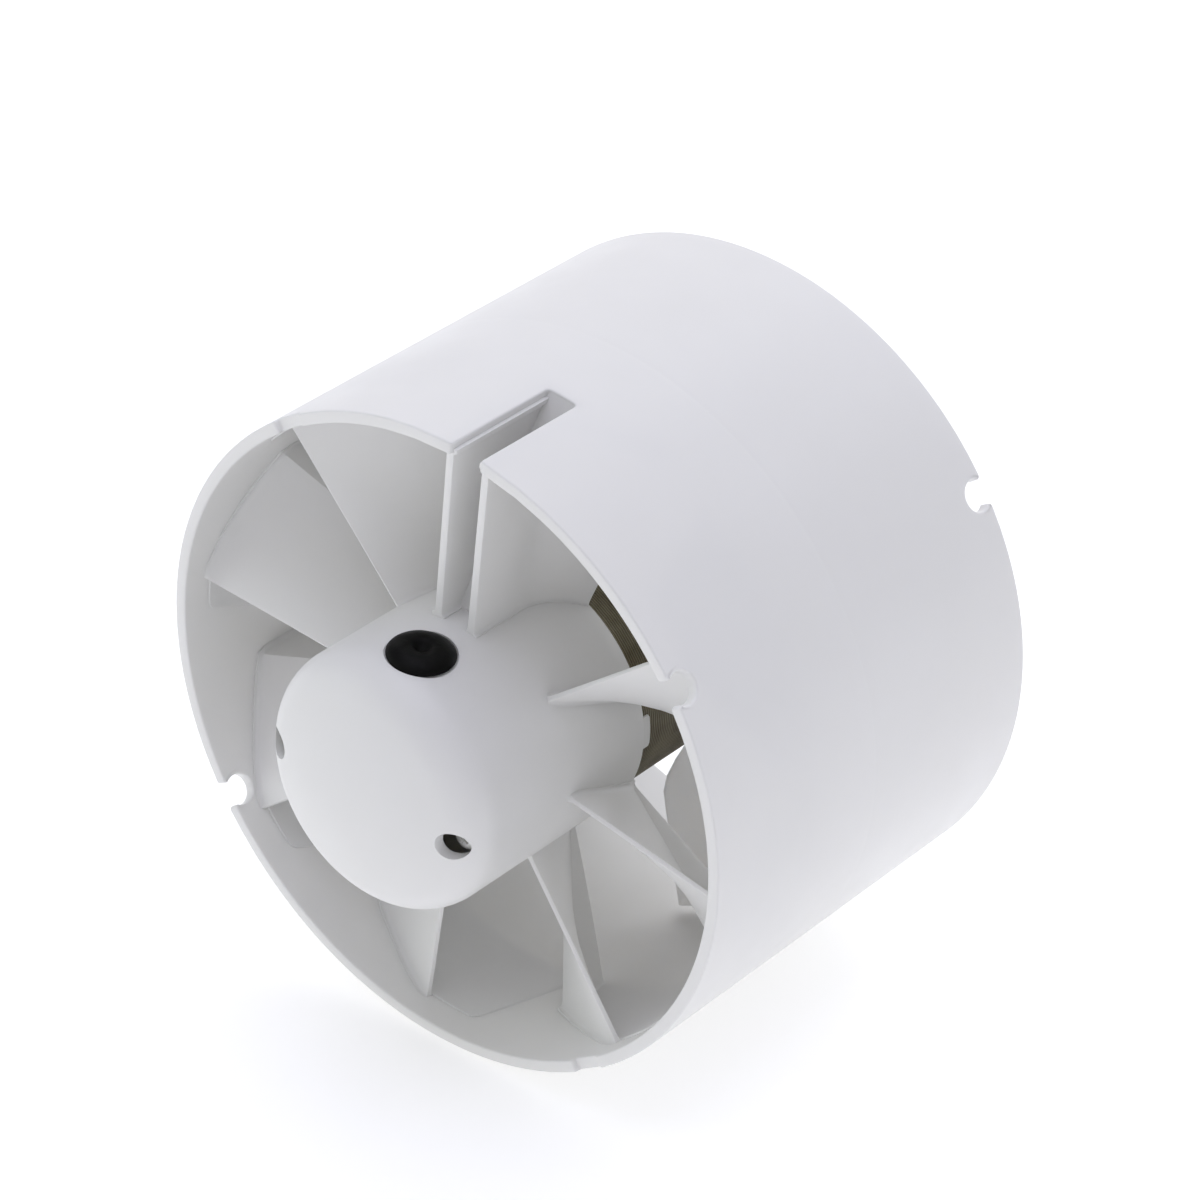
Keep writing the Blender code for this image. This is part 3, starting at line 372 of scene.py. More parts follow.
def build_tube():
    front, middle, rear, knees = rim_loops()
    per_degree = math.radians(TUBE_R)
    rows = []

    def add_row(points, radius):
        rows.append([polar(radius, s / per_degree, y) for s, y in points])

    def blend_rows(start, end, fractions, radius):
        for fraction in fractions:
            pairs = zip(start, end)
            add_row([(lerp(a[0], b[0], fraction), lerp(a[1], b[1], fraction)) for a, b in pairs], radius)

    def fan(loop, side, end, ring_y, radius, inwards):
        """Rows that leave a rim square to its edge and then spread out to an even ring."""
        near, far = inset(loop, RIM_ROUND, side), inset(loop, 0.65, side)
        ring = [(s, ring_y) for s in middle]
        knee = []
        for keyhole, start, finish in zip(knees, far, ring):
            if keyhole:
                knee.append((finish[0], end * KNEE_Y))
            else:
                knee.append((lerp(start[0], finish[0], 0.4), lerp(start[1], finish[1], 0.4)))
        first = len(rows)
        add_row(near, radius)
        blend_rows(far, knee, (0.0, 0.12, 0.28, 0.5, 0.75), radius)
        blend_rows(knee, ring, (0.0, 0.3, 0.65, 1.0), radius)
        if not inwards:
            rows[first:] = rows[first:][::-1]

    def round_over(loop, side, radius, into_wall, steps):
        """Rows round one corner of a rim. into_wall is +1 on the bore and -1 on the outside."""
        for step in steps:
            turn = math.radians(90.0 * step / RIM_STEPS)
            edge = inset(loop, RIM_ROUND * (1 - math.sin(turn)), side)
            add_row(edge, radius + into_wall * RIM_ROUND * (1 - math.cos(turn)))

    up, down = range(1, RIM_STEPS + 1), range(RIM_STEPS, 0, -1)
    fan(front, 1.0, -1.0, FRONT_RING_Y, TUBE_R, True)
    seam = ((-0.35, 0.0), (-0.12, SEAM_DEPTH), (0.12, SEAM_DEPTH), (0.35, 0.0))
    for y in (-7.0, -4.0, -1.5):
        add_row([(s, y) for s in middle], TUBE_R)
    for y, depth in seam:
        add_row([(s, y) for s in middle], TUBE_R - depth)
    for y in (1.5, 5.0, 10.0, 15.0, 20.0):
        add_row([(s, y) for s in middle], TUBE_R)
    fan(rear, -1.0, 1.0, REAR_RING_Y, TUBE_R, False)
    round_over(rear, -1.0, TUBE_R, -1.0, up)
    round_over(rear, -1.0, BORE_R, 1.0, down)
    fan(rear, -1.0, 1.0, REAR_RING_Y, BORE_R, True)
    for y in (19.0, 12.0, 5.0, -2.0):
        add_row([(s, y) for s in middle], BORE_R)
    fan(front, 1.0, -1.0, FRONT_RING_Y, BORE_R, False)
    round_over(front, 1.0, BORE_R, 1.0, up)
    round_over(front, 1.0, TUBE_R, -1.0, down)
    return loft(rows, wrap=True)


# ---------------------------------------------------------------- sheets: vanes, plates and blades


def sheet_solid(surface, spans, chords, half_at):
    """A closed solid round surface(span, chord), half_at(span, chord) thick to each side."""
    tiny = 1e-3
    rings = []
    for span in spans:
        upper, lower = [], []
        for chord in chords:
            point = surface(span, chord)
            ahead, behind = min(chord + tiny, chords[-1]), max(chord - tiny, chords[0])
            along = surface(span, ahead) - surface(span, behind)
            across = surface(min(span + tiny, 1.0), chord) - surface(max(span - tiny, 0.0), chord)
            normal = along.cross(across).normalized() * half_at(span, chord)
            upper.append(point + normal)
            lower.append(point - normal)
        rings.append(upper + lower[::-1])
    return loft(rings)


def fillet_spans(inner_r, outer_r, hub_r, wall_r, fillet, middle_steps):
    """Span fractions that follow a fillet at the hub and one at the wall."""
    curve = (0.0, 0.06, 0.16, 0.32, 0.56, 1.0)
    radii = [inner_r] + [hub_r + fillet * step for step in curve]
    radii += [lerp(hub_r + fillet, wall_r - fillet, step / middle_steps) for step in range(1, middle_steps)]
    radii += [wall_r - fillet * step for step in reversed(curve)] + [outer_r]
    return [(radius - inner_r) / (outer_r - inner_r) for radius in radii]


def fillet_swell(distance, fillet):
    """How much thicker one side is at a distance from the surface that the sheet stands on."""
    if distance >= fillet:
        return 0.0
    reach = fillet - max(distance, 0.0)
    return 0.85 * (fillet - math.sqrt(max(fillet * fillet - reach * reach, 0.0)))


def edge_profile(distance, half_edge, half_full, length, corner=0.12):
    """Half thickness at a distance behind a flat front edge with small round corners."""
    if distance < corner:
        return half_edge - corner + math.sqrt(max(corner**2 - (corner - distance) ** 2, 0.0))
    share = min(1.0, (distance - corner) / length)
    return lerp(half_edge, half_full, math.sin(share * math.pi / 2))


def build_vane(angle, hub_sweep):
    inner_r, outer_r = BARREL_R - ROOT_OVERLAP, BORE_R + ROOT_OVERLAP
    spans = fillet_spans(inner_r, outer_r, BARREL_R, BORE_R, ROOT_FILLET, 9)
    swept = (0.0, 0.001, 0.003, 0.0055, 0.03, 0.07, 0.14, 0.25, 0.38, 0.52, 0.66, 0.8, 0.92, 0.975, 1.0)
    land = (1.06, 1.2, 1.5, 1.8, 1.96, 2.0)

    def surface(span, chord):
        radius = lerp(inner_r, outer_r, span)
        share = (radius - BARREL_R) / (BORE_R - BARREL_R)
        front_y = lerp(VANE_FRONT_HUB_Y, VANE_FRONT_WALL_Y, share)
        land_y = lerp(VANE_REAR_Y - LAND_HUB_DEPTH, LAND_START_WALL_Y, share)
        sweep = lerp(hub_sweep, VANE_WALL_SWEEP, share)
        if chord <= 1.0:
            return polar(radius, angle - sweep * chord, lerp(front_y, land_y, chord))
        return polar(radius, angle - sweep, lerp(land_y, VANE_REAR_Y, chord - 1.0))

    def half_at(span, chord):
        radius = lerp(inner_r, outer_r, span)
        length = 22.0
        half = edge_profile(chord * length, VANE_EDGE / 2, VANE_THICKNESS / 2, 6.0)
        if chord > 1.9:
            half -= 0.2 * (chord - 1.9) / 0.1
        grow = min(1.0, chord * length / 1.5)
        swell = fillet_swell(radius - BARREL_R, ROOT_FILLET) + fillet_swell(BORE_R - radius, ROOT_FILLET)
        return half + swell * (0.35 + 0.65 * grow)

    return sheet_solid(surface, spans, swept + land, half_at)


def channel_point(radial, offset, y):
    """A point at a radial distance along the channel's direction and an offset to its left."""
    return polar(radial, CHANNEL_ANGLE) + polar(offset, CHANNEL_ANGLE + 90.0, y)


def build_right_plate():
    inner_r, outer_r = BARREL_R - ROOT_OVERLAP, BORE_R + ROOT_OVERLAP
    spans = fillet_spans(inner_r, outer_r, BARREL_R, BORE_R, PLATE_FILLET, 6)
    chords = (0.0, 0.0015, 0.005, 0.01, 0.08, 0.3, 0.6, 0.9, 1.0, 1.1, 1.25, 1.4, 1.55, 1.7, 1.85, 1.97, 2.0)
    turn = math.radians(RIGHT_VANE_SWEEP)

    def surface(span, chord):
        radial = lerp(inner_r, outer_r, span)
        front_y = lerp(PLATE_FRONT_HUB_Y, -TUBE_HALF + 0.8, span)
        front = channel_point(radial, lerp(*RIGHT_PLATE, span), front_y)
        if chord <= 1.0:
            front.y = lerp(front_y, RIGHT_VANE_TURN_Y, chord)
            return front
        swept = Matrix.Rotation(turn * (chord - 1.0) ** 2, 4, "Y") @ front
        swept.y = lerp(RIGHT_VANE_TURN_Y, VANE_REAR_Y, chord - 1.0)
        return swept

    def half_at(span, chord):
        radius = lerp(inner_r, outer_r, span)
        half = edge_profile(chord * 12.0, PLATE_THICKNESS / 2, PLATE_THICKNESS / 2, 1.0)
        half += fillet_swell(radius - BARREL_R, PLATE_FILLET)
        return half + fillet_swell(BORE_R - radius, PLATE_FILLET)

    return sheet_solid(surface, spans, chords, half_at)


def build_left_plate():
    inner_r, outer_r = BARREL_R - 1.5, BORE_R + ROOT_OVERLAP
    spans = fillet_spans(inner_r, outer_r, BARREL_R, BORE_R, PLATE_FILLET, 6)
    chords = (0.0, 0.0015, 0.0045, 0.0086, 0.08, 0.3, 0.6, 1.0)

    def surface(span, chord):
        radial = lerp(inner_r, outer_r, span)
        front_y = lerp(PLATE_FRONT_HUB_Y, -TUBE_HALF + 0.8, span)
        rear_y = lerp(FLOOR_HUB_Y, FLOOR_END_Y, span) + FLOOR_THICKNESS
        return channel_point(radial, lerp(*LEFT_PLATE, span), lerp(front_y, rear_y, chord))

    def half_at(span, chord):
        radius = lerp(inner_r, outer_r, span)
        half = edge_profile(chord * 14.0, PLATE_THICKNESS / 2, PLATE_THICKNESS / 2, 1.0)
        half += fillet_swell(radius - BARREL_R, PLATE_FILLET)
        return half + fillet_swell(BORE_R - radius, PLATE_FILLET)

    return sheet_solid(surface, spans, chords, half_at)


def build_channel_floor():
    inner_r = BARREL_R - ROOT_OVERLAP
    spans = [step / 8 for step in range(9)]

    def surface(span, chord):
        radial = lerp(inner_r, FLOOR_END_R, span)
        return channel_point(
            radial,
            lerp(lerp(*RIGHT_PLATE, span), lerp(*LEFT_PLATE, span), chord),
            lerp(FLOOR_HUB_Y, FLOOR_END_Y, span),
        )

    chords = (0.0, 0.25, 0.5, 0.75, 1.0)
    return sheet_solid(surface, spans, chords, lambda span, chord: FLOOR_THICKNESS / 2)


# ---------------------------------------------------------------- barrel


def barrel_outline(thickness):
    """Points (radius, y) of the barrel from its rear edge to the nose, moved inwards by the thickness."""
    fillet = SHOULDER_FILLET - thickness
    edge = arc((BARREL_R - SHOULDER_FILLET, SHOULDER_Y), fillet, 0.0, -72.0, 18)
    edge_r, edge_y = edge[-1]
    nose_y = edge_y - DOME_RISE
    cap_r = (edge_r**2 + DOME_RISE**2) / (2 * DOME_RISE)
    cap_half = math.degrees(math.asin(edge_r / cap_r))
    cap = arc((0.0, nose_y + cap_r), cap_r, cap_half - 90.0, -90.0, 10)[1:]
    cap[-1] = (0.0, nose_y)
    return edge + cap


def build_barrel():
    outside = barrel_outline(0.0)
    inside = barrel_outline(BARREL_WALL)
    straight = [(BARREL_R, lerp(BARREL_REAR_Y - 0.3, SHOULDER_Y, step / 14)) for step in range(14)]
    rim = [
        (BARREL_R - BARREL_WALL, BARREL_REAR_Y - 0.3),
        (BARREL_R - BARREL_WALL + 0.3, BARREL_REAR_Y),
        (BARREL_R - 0.3, BARREL_REAR_Y),
        (BARREL_R - 0.1, BARREL_REAR_Y - 0.1),
    ]
    outline = inside[::-1] + rim + straight + outside
    barrel = to_object("barrel", turned(outline, BARREL_STEPS))
    cutters, extras = [], []
    recess_outline = [(0.0, -75.0), (RECESS_R, -75.0), (RECESS_R, RECESS_FLOOR_Y - 0.2)]
    recess_outline += [(RECESS_R - 0.3, RECESS_FLOOR_Y), (0.0, RECESS_FLOOR_Y)]
    boss_outline = [(SCREW_HOLE_R, RECESS_FLOOR_Y), (SCREW_BOSS_R, RECESS_FLOOR_Y)]
    boss_outline += [(SCREW_BOSS_R, SCREW_BOSS_END_Y), (SCREW_HOLE_R, SCREW_BOSS_END_Y)]
    for angle in (MOTOR_ROLL, MOTOR_ROLL + 180.0):
        recess, boss = turned(recess_outline, 48), turned(boss_outline, 32, closed=True)
        for bm in (recess, boss):
            bmesh.ops.translate(bm, vec=polar(SCREW_CIRCLE, angle), verts=bm.verts)
        cutters.append(to_object("recess", recess))
        extras.append(to_object("boss", boss))
    seat = [(0.0, 12.0), (GROMMET_SEAT_R, 12.0), (GROMMET_SEAT_R, -GROMMET_SEAT_DEPTH)]
    seat += [(GROMMET_HOLE_R, -GROMMET_SEAT_DEPTH), (GROMMET_HOLE_R, -6.0), (0.0, -6.0)]
    place = to_axis(GROMMET_ANGLE, BARREL_R, GROMMET_Y)
    cutters.append(to_object("seat", moved(turned(seat, 72), place)))
    boolean(barrel, cutters, "DIFFERENCE")
    for angle in REAR_TAB_ANGLES:
        extras.append(to_object("tab", build_rear_tab(angle)))
    return [barrel] + extras


def build_rear_tab(angle):
    """A thin tab that carries the barrel's skin on behind its rear edge."""
    inner, outer = REAR_TAB_RADII
    rings = []
    for step in range(REAR_TAB_STEPS + 1):
        turn = angle + lerp(-REAR_TAB_HALF_ANGLE, REAR_TAB_HALF_ANGLE, step / REAR_TAB_STEPS)
        end_y = REAR_TAB_Y - (0.35 if step in (0, REAR_TAB_STEPS) else 0.0)
        section = [(inner, BARREL_REAR_Y - 2.0), (outer, BARREL_REAR_Y - 2.0), (outer, end_y - 0.25)]
        section += [(outer - 0.2, end_y), (inner + 0.15, end_y), (inner, end_y - 0.15)]
        rings.append([polar(radius, turn, y) for radius, y in section])
    return loft(rings)


def build_pad(vane_angle, width):
    """A slightly raised patch of the bore, from a vane's front corner back, with a slanting far side."""
    rows = [0.0, 0.008, 0.02, 0.045, 0.1, 0.25, 0.45, 0.65, 0.85, 1.0]
    columns = [0.0, 0.2, 0.4, 0.6, 0.75, 0.87, 0.94, 0.975, 0.99, 1.0]

    def point(row, column, radius):
        y = lerp(PAD_FRONT_Y, PAD_REAR_Y, row)
        swept = min(1.0, (y - VANE_FRONT_WALL_Y) / (LAND_START_WALL_Y - VANE_FRONT_WALL_Y))
        left = vane_angle - VANE_WALL_SWEEP * swept
        right = vane_angle + width + PAD_SLANT * (y - PAD_FRONT_Y)
        depth = y - PAD_FRONT_Y
        if depth < PAD_CORNER:
            across = math.sqrt(PAD_CORNER**2 - (PAD_CORNER - depth) ** 2)
            right -= math.degrees((PAD_CORNER - across) / BORE_R)
        return polar(radius, lerp(left, right, column), y)

    rings = []
    for row in rows:
        ring = []
        for column in columns:
            edge = row == 0.0 or column in (0.0, 1.0)
            ring.append(point(row, column, BORE_R + 0.05 if edge else BORE_R - PAD_RISE))
        ring += [point(row, column, BORE_R + 0.6) for column in reversed(columns)]
        rings.append(ring)
    return loft(rings)


def build_casing(material):
    tube = to_object("casing_moulding", build_tube(), [material])
    shells = build_barrel()
    for angle, hub_sweep in VANES:
        shells.append(to_object("vane", build_vane(angle, hub_sweep)))
    for angle, width in PADS:
        shells.append(to_object("pad", build_pad(angle, width)))
    for build in (build_right_plate, build_left_plate, build_channel_floor):
        shells.append(to_object("plate", build()))
    join(tube, shells)
    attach(tube, "casing")
    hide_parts("duct_casing")


def join(target, others):
    """Adds the meshes of the others to the target, and removes the others."""
    bm = bmesh.new()
    bm.from_mesh(target.data)
    for other in others:
        bm.from_mesh(other.data)
        bpy.data.objects.remove(other, do_unlink=True)
    bm.to_mesh(target.data)
    bm.free()
    target.data.polygons.foreach_set("use_smooth", [True] * len(target.data.polygons))
    target.data.set_sharp_from_angle(angle=math.radians(SHARP_ANGLE))


# ---------------------------------------------------------------- grommet, screws and impeller


def build_grommet(material):
    """The grommet's head, with a dimple for the cable, and the groove and lip that hold it in its hole."""
    seat = -GROMMET_SEAT_DEPTH + PART_GAP
    outline = [(0.0, seat + 0.95), (0.5, seat + 0.98), (1.0, seat + 1.2)]
    outline += [(1.4, seat + 1.6), (1.75, seat + 1.9), (2.2, seat + 2.06), (2.8, seat + 2.1)]
    outline += [(3.6, seat + 2.0), (4.5, seat + 1.68), (5.3, seat + 1.2), (5.85, seat + 0.7)]
    outline += [(6.08, seat + 0.3), (6.0, seat + 0.06)]
    outline += [(5.8, seat), (4.3, seat), (4.3, -2.9), (5.4, -3.2), (4.6, -5.0), (0.0, -5.2)]
    place = to_axis(GROMMET_ANGLE, BARREL_R, GROMMET_Y)
    grommet = to_object("rubber_grommet", moved(turned(outline, 96), place), [material])
    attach(grommet, "casing")
    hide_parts("cable_grommet")


def cross_blade(top, turn):
    """One tapered blade of the cross recess, with its wide end at the top of the screw."""
    bm = bmesh.new()
    bmesh.ops.create_cube(bm, size=1.0)
    for vert in bm.verts:
        width, thickness = (1.5, 0.35) if vert.co.z > 0 else (3.1, 0.75)
        vert.co = Vector((vert.co.x * width, vert.co.z * 2.0, vert.co.y * thickness))
    spin = Matrix.Rotation(math.radians(turn + CROSS_TURN), 4, "Y")
    return moved(bm, Matrix.Translation((0.0, top, 0.0)) @ spin)


def build_housing_screws(material):
    top = RECESS_FLOOR_Y - SCREW_HEAD_HEIGHT - SCREW_HEAD_DROP
    under = top + SCREW_HEAD_HEIGHT
    outline = [(0.0, top), (1.0, top + 0.02), (1.6, top + 0.12), (2.05, top + 0.4), (2.3, top + 0.85)]
    outline += [(SCREW_HEAD_R, top + 1.3), (2.3, under), (SCREW_SHANK_R, under)]
    outline += [(SCREW_SHANK_R, top + SCREW_SHANK_LENGTH), (0.6, top + SCREW_SHANK_LENGTH + 1.0)]
    outline += [(0.0, top + SCREW_SHANK_LENGTH + 1.2)]
    for side, angle in (("right", MOTOR_ROLL), ("left", MOTOR_ROLL + 180.0)):
        screw = to_object(f"housing_screw_{side}_head", turned(outline, 48), [material])
        boolean(screw, [to_object("cross", cross_blade(top, turn)) for turn in (0.0, 90.0)], "DIFFERENCE")
        screw.data.transform(Matrix.Translation(polar(SCREW_CIRCLE * MM, angle)))
        screw.data.materials.clear()
        screw.data.materials.append(material)
        screw.data.polygons.foreach_set("use_smooth", [True] * len(screw.data.polygons))
        screw.data.set_sharp_from_angle(angle=math.radians(30.0))
        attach(screw, "casing")
        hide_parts(f"housing_screw_{side}")


def build_blade(front_angle):
    inner_r = HUB_R - 1.0
    root = (0.0, 1.0, 1.1, 1.3, 1.6, 2.1, 3.0)
    spans = [(HUB_R - 1.0 + step - inner_r) / (BLADE_TIP_R - inner_r) for step in root]
    radii = (29.0, 32.0, 35.0, 39.0, 43.0, 47.0, 51.0, 54.0, 56.5, 57.8, 58.5, BLADE_TIP_R)
    spans += [(radius - inner_r) / (BLADE_TIP_R - inner_r) for radius in radii]
    chords = (0.0, 0.008, 0.02, 0.04, 0.09, 0.18, 0.3, 0.42, 0.54, 0.66, 0.78, 0.88, 0.95, 0.98, 1.0)

    def surface(span, chord):
        radius = lerp(inner_r, BLADE_TIP_R, span)
        relief = max(0.0, (BLADE_RELIEF_END_R - radius) / (BLADE_RELIEF_END_R - inner_r))
        front_y = BLADE_FRONT_Y + BLADE_ROOT_RELIEF * relief**2
        y = lerp(front_y, BLADE_REAR_Y, chord)
        part = (y - BLADE_FRONT_Y) / (BLADE_REAR_Y - BLADE_FRONT_Y)
        bowed = part + 0.1 * math.sin(math.pi * part)
        return polar(radius, front_angle + lerp(*BLADE_WRAP, span) * bowed, y)

    def half_at(span, chord):
        radius = lerp(inner_r, BLADE_TIP_R, span)
        thick = lerp(BLADE_THICKNESS / 2, BLADE_TIP_HALF, span)
        half = edge_profile(chord * 30.0, 0.5, thick, 5.0, BLADE_CORNER)
        half = min(half, edge_profile((1.0 - chord) * 30.0, 0.45, thick, 4.0, BLADE_CORNER))
        if BLADE_TIP_R - radius < 0.5:
            half *= 0.72
        return half + fillet_swell(radius - HUB_R, BLADE_FILLET)

    return sheet_solid(surface, spans, chords, half_at)


def build_impeller(material):
    centre = (HUB_R - HUB_FILLET, HUB_REAR_Y - HUB_FILLET)
    floor_y = HUB_REAR_Y - HUB_WALL
    outline = [(HUB_R - 0.25, HUB_FRONT_Y), (HUB_R, HUB_FRONT_Y + 0.25)]
    outline += [(HUB_R, lerp(HUB_FRONT_Y, HUB_REAR_Y - HUB_FILLET, step / 6)) for step in range(1, 6)]
    outline += arc(centre, HUB_FILLET, 0.0, 90.0, 12)
    outline += [(12.0, HUB_REAR_Y), (6.5, HUB_REAR_Y), (6.2, HUB_REAR_Y - 0.5), (5.6, HUB_REAR_Y - 0.6)]
    outline += [(2.5, HUB_REAR_Y - 0.6), (2.15, HUB_REAR_Y - 0.9), (2.15, 21.5), (5.0, 21.5)]
    outline += [(5.0, floor_y - 0.8), (5.8, floor_y)] + arc(centre, HUB_FILLET - HUB_WALL, 90.0, 0.0, 8)
    outline += [(HUB_R - HUB_WALL, HUB_FRONT_Y)]
    impeller = to_object("impeller_moulding", turned(outline, 120, closed=True), [material])
    blades = []
    for index in range(BLADES):
        angle = BLADE_FIRST_ANGLE + 360.0 / BLADES * index
        blades.append(to_object("blade", build_blade(angle)))
    join(impeller, blades)
    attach(impeller, "rotor")
    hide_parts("impeller")


# ---------------------------------------------------------------- materials


class Nodes:
    """Short calls for building one material's node tree."""

    def __init__(self, name):
        self.material = bpy.data.materials.new(name)
        self.material.use_nodes = True
        self.tree = self.material.node_tree
        self.shader = self.tree.nodes["Principled BSDF"]
        self.place = self.add("ShaderNodeTexCoord").outputs["Object"]

    def add(self, kind, **settings):
        node = self.tree.nodes.new(kind)
        for key, value in settings.items():
            if key in node.inputs:
                node.inputs[key].default_value = value
            else:
                setattr(node, key, value)
        return node

    def link(self, output, socket):
        self.tree.links.new(output, socket)

    def noise(self, scale, detail=3.0, roughness=0.5, stretch=None):
        node = self.add("ShaderNodeTexNoise", Scale=scale, Detail=detail, Roughness=roughness)
        place = self.place
        if stretch:
            mapping = self.add("ShaderNodeMapping", Scale=stretch)
            self.link(place, mapping.inputs["Vector"])
            place = mapping.outputs["Vector"]
        self.link(place, node.inputs["Vector"])
        return node.outputs["Fac"]

    def ramp(self, value, stops):
        node = self.add("ShaderNodeValToRGB")
        elements = node.color_ramp.elements
        while len(elements) < len(stops):
            elements.new(0.5)
        for element, (position, colour) in zip(elements, stops):
            element.position = position
            element.color = (*colour, 1.0) if isinstance(colour, tuple) else (colour, colour, colour, 1.0)
        self.link(value, node.inputs["Fac"])
        return node.outputs["Color"]

    def bump(self, height, strength, distance, after=None):
        node = self.add("ShaderNodeBump", Strength=strength, Distance=distance)
        self.link(height, node.inputs["Height"])
        if after:
            self.link(after, node.inputs["Normal"])
        return node.outputs["Normal"]

    def set(self, **sockets):
        for name, value in sockets.items():
            socket = self.shader.inputs[name.replace("_", " ")]
            if isinstance(value, bpy.types.NodeSocket):
                self.link(value, socket)
            else:
                socket.default_value = value
        return self.material


def moulded_abs(name, light, dark, glow):
    """Moulded white ABS: faint cloudy tint, uneven gloss, fine texture and long flow waves."""
    m = Nodes(name)
    tint = m.ramp(m.noise(28.0, 4.0), ((0.3, dark), (0.7, light)))
    gloss = m.ramp(m.noise(160.0, 3.0), ((0.3, 0.34), (0.7, 0.44)))
    fine = m.bump(m.noise(2600.0, 2.0), 0.05, 0.0002)
    flow = m.bump(m.noise(55.0, 2.0, 0.4, (1.0, 0.35, 1.0)), 0.12, 0.0006, fine)
    return m.set(
        Base_Color=tint,
        Roughness=gloss,
        Normal=flow,
        IOR=1.5,
        Subsurface_Weight=glow,
        Subsurface_Scale=0.004,
        Subsurface_Radius=(1.0, 0.95, 0.85),
    )


def rubber(name):
    m = Nodes(name)
    tint = m.ramp(m.noise(300.0, 4.0), ((0.3, (0.0015, 0.0015, 0.0012)), (0.75, (0.004, 0.004, 0.0035))))
    gloss = m.ramp(m.noise(500.0, 3.0), ((0.3, 0.38), (0.7, 0.55)))
    normal = m.bump(m.noise(1800.0, 3.0), 0.2, 0.0002)
    return m.set(Base_Color=tint, Roughness=gloss, Normal=normal, Specular_IOR_Level=0.1)


def metal(name, light, dark, smooth, rough, scale=400.0, stretch=None, lines=0.15, metallic=1.0):
    m = Nodes(name)
    grain = m.noise(scale, 4.0, 0.6, stretch)
    tint = m.ramp(grain, ((0.3, dark), (0.7, light)))
    gloss = m.ramp(m.noise(scale * 0.5, 3.0), ((0.3, smooth), (0.7, rough)))
    return m.set(Base_Color=tint, Roughness=gloss, Metallic=metallic, Normal=m.bump(grain, lines, 0.0001))


def laminations(name):
    """Stacked steel sheets seen edge on: half-millimetre lines across Y, varnish and light rust."""
    m = Nodes(name)
    wave = m.add("ShaderNodeTexWave", Scale=620.0, Distortion=0.8, Detail=2.0)
    wave.bands_direction = "Y"
    m.link(m.place, wave.inputs["Vector"])
    lines = m.ramp(wave.outputs["Fac"], ((0.1, (0.115, 0.101, 0.062)), (0.6, (0.215, 0.192, 0.12))))
    patches = m.ramp(m.noise(120.0, 4.0), ((0.35, (0.55, 0.50, 0.42)), (0.7, (1.0, 1.0, 1.0))))
    mix = m.add("ShaderNodeMix", data_type="RGBA", blend_type="MULTIPLY")
    mix.inputs["Factor"].default_value = 1.0
    m.link(lines, mix.inputs["A"])
    m.link(patches, mix.inputs["B"])
    normal = m.bump(wave.outputs["Fac"], 0.6, 0.0002)
    return m.set(Base_Color=mix.outputs["Result"], Roughness=0.55, Metallic=0.45, Normal=normal)


def plain_plastic(name, light, dark, rough):
    m = Nodes(name)
    tint = m.ramp(m.noise(200.0, 4.0), ((0.3, dark), (0.7, light)))
    gloss = m.ramp(m.noise(400.0, 3.0), ((0.3, rough - 0.05), (0.7, rough + 0.06)))
    return m.set(Base_Color=tint, Roughness=gloss, Normal=m.bump(m.noise(900.0, 3.0), 0.1, 0.0002))


def copper_winding(name):
    """Enamelled wire wound across Y: tight round lines with a clear varnish."""
    m = Nodes(name)
    wave = m.add("ShaderNodeTexWave", Scale=480.0, Distortion=1.2, Detail=2.0)
    wave.bands_direction = "DIAGONAL"
    m.link(m.place, wave.inputs["Vector"])
    tint = m.ramp(wave.outputs["Fac"], ((0.15, (0.16, 0.045, 0.015)), (0.65, (0.62, 0.24, 0.09))))
    normal = m.bump(wave.outputs["Fac"], 0.7, 0.0002)
    return m.set(Base_Color=tint, Roughness=0.32, Metallic=0.85, Normal=normal)


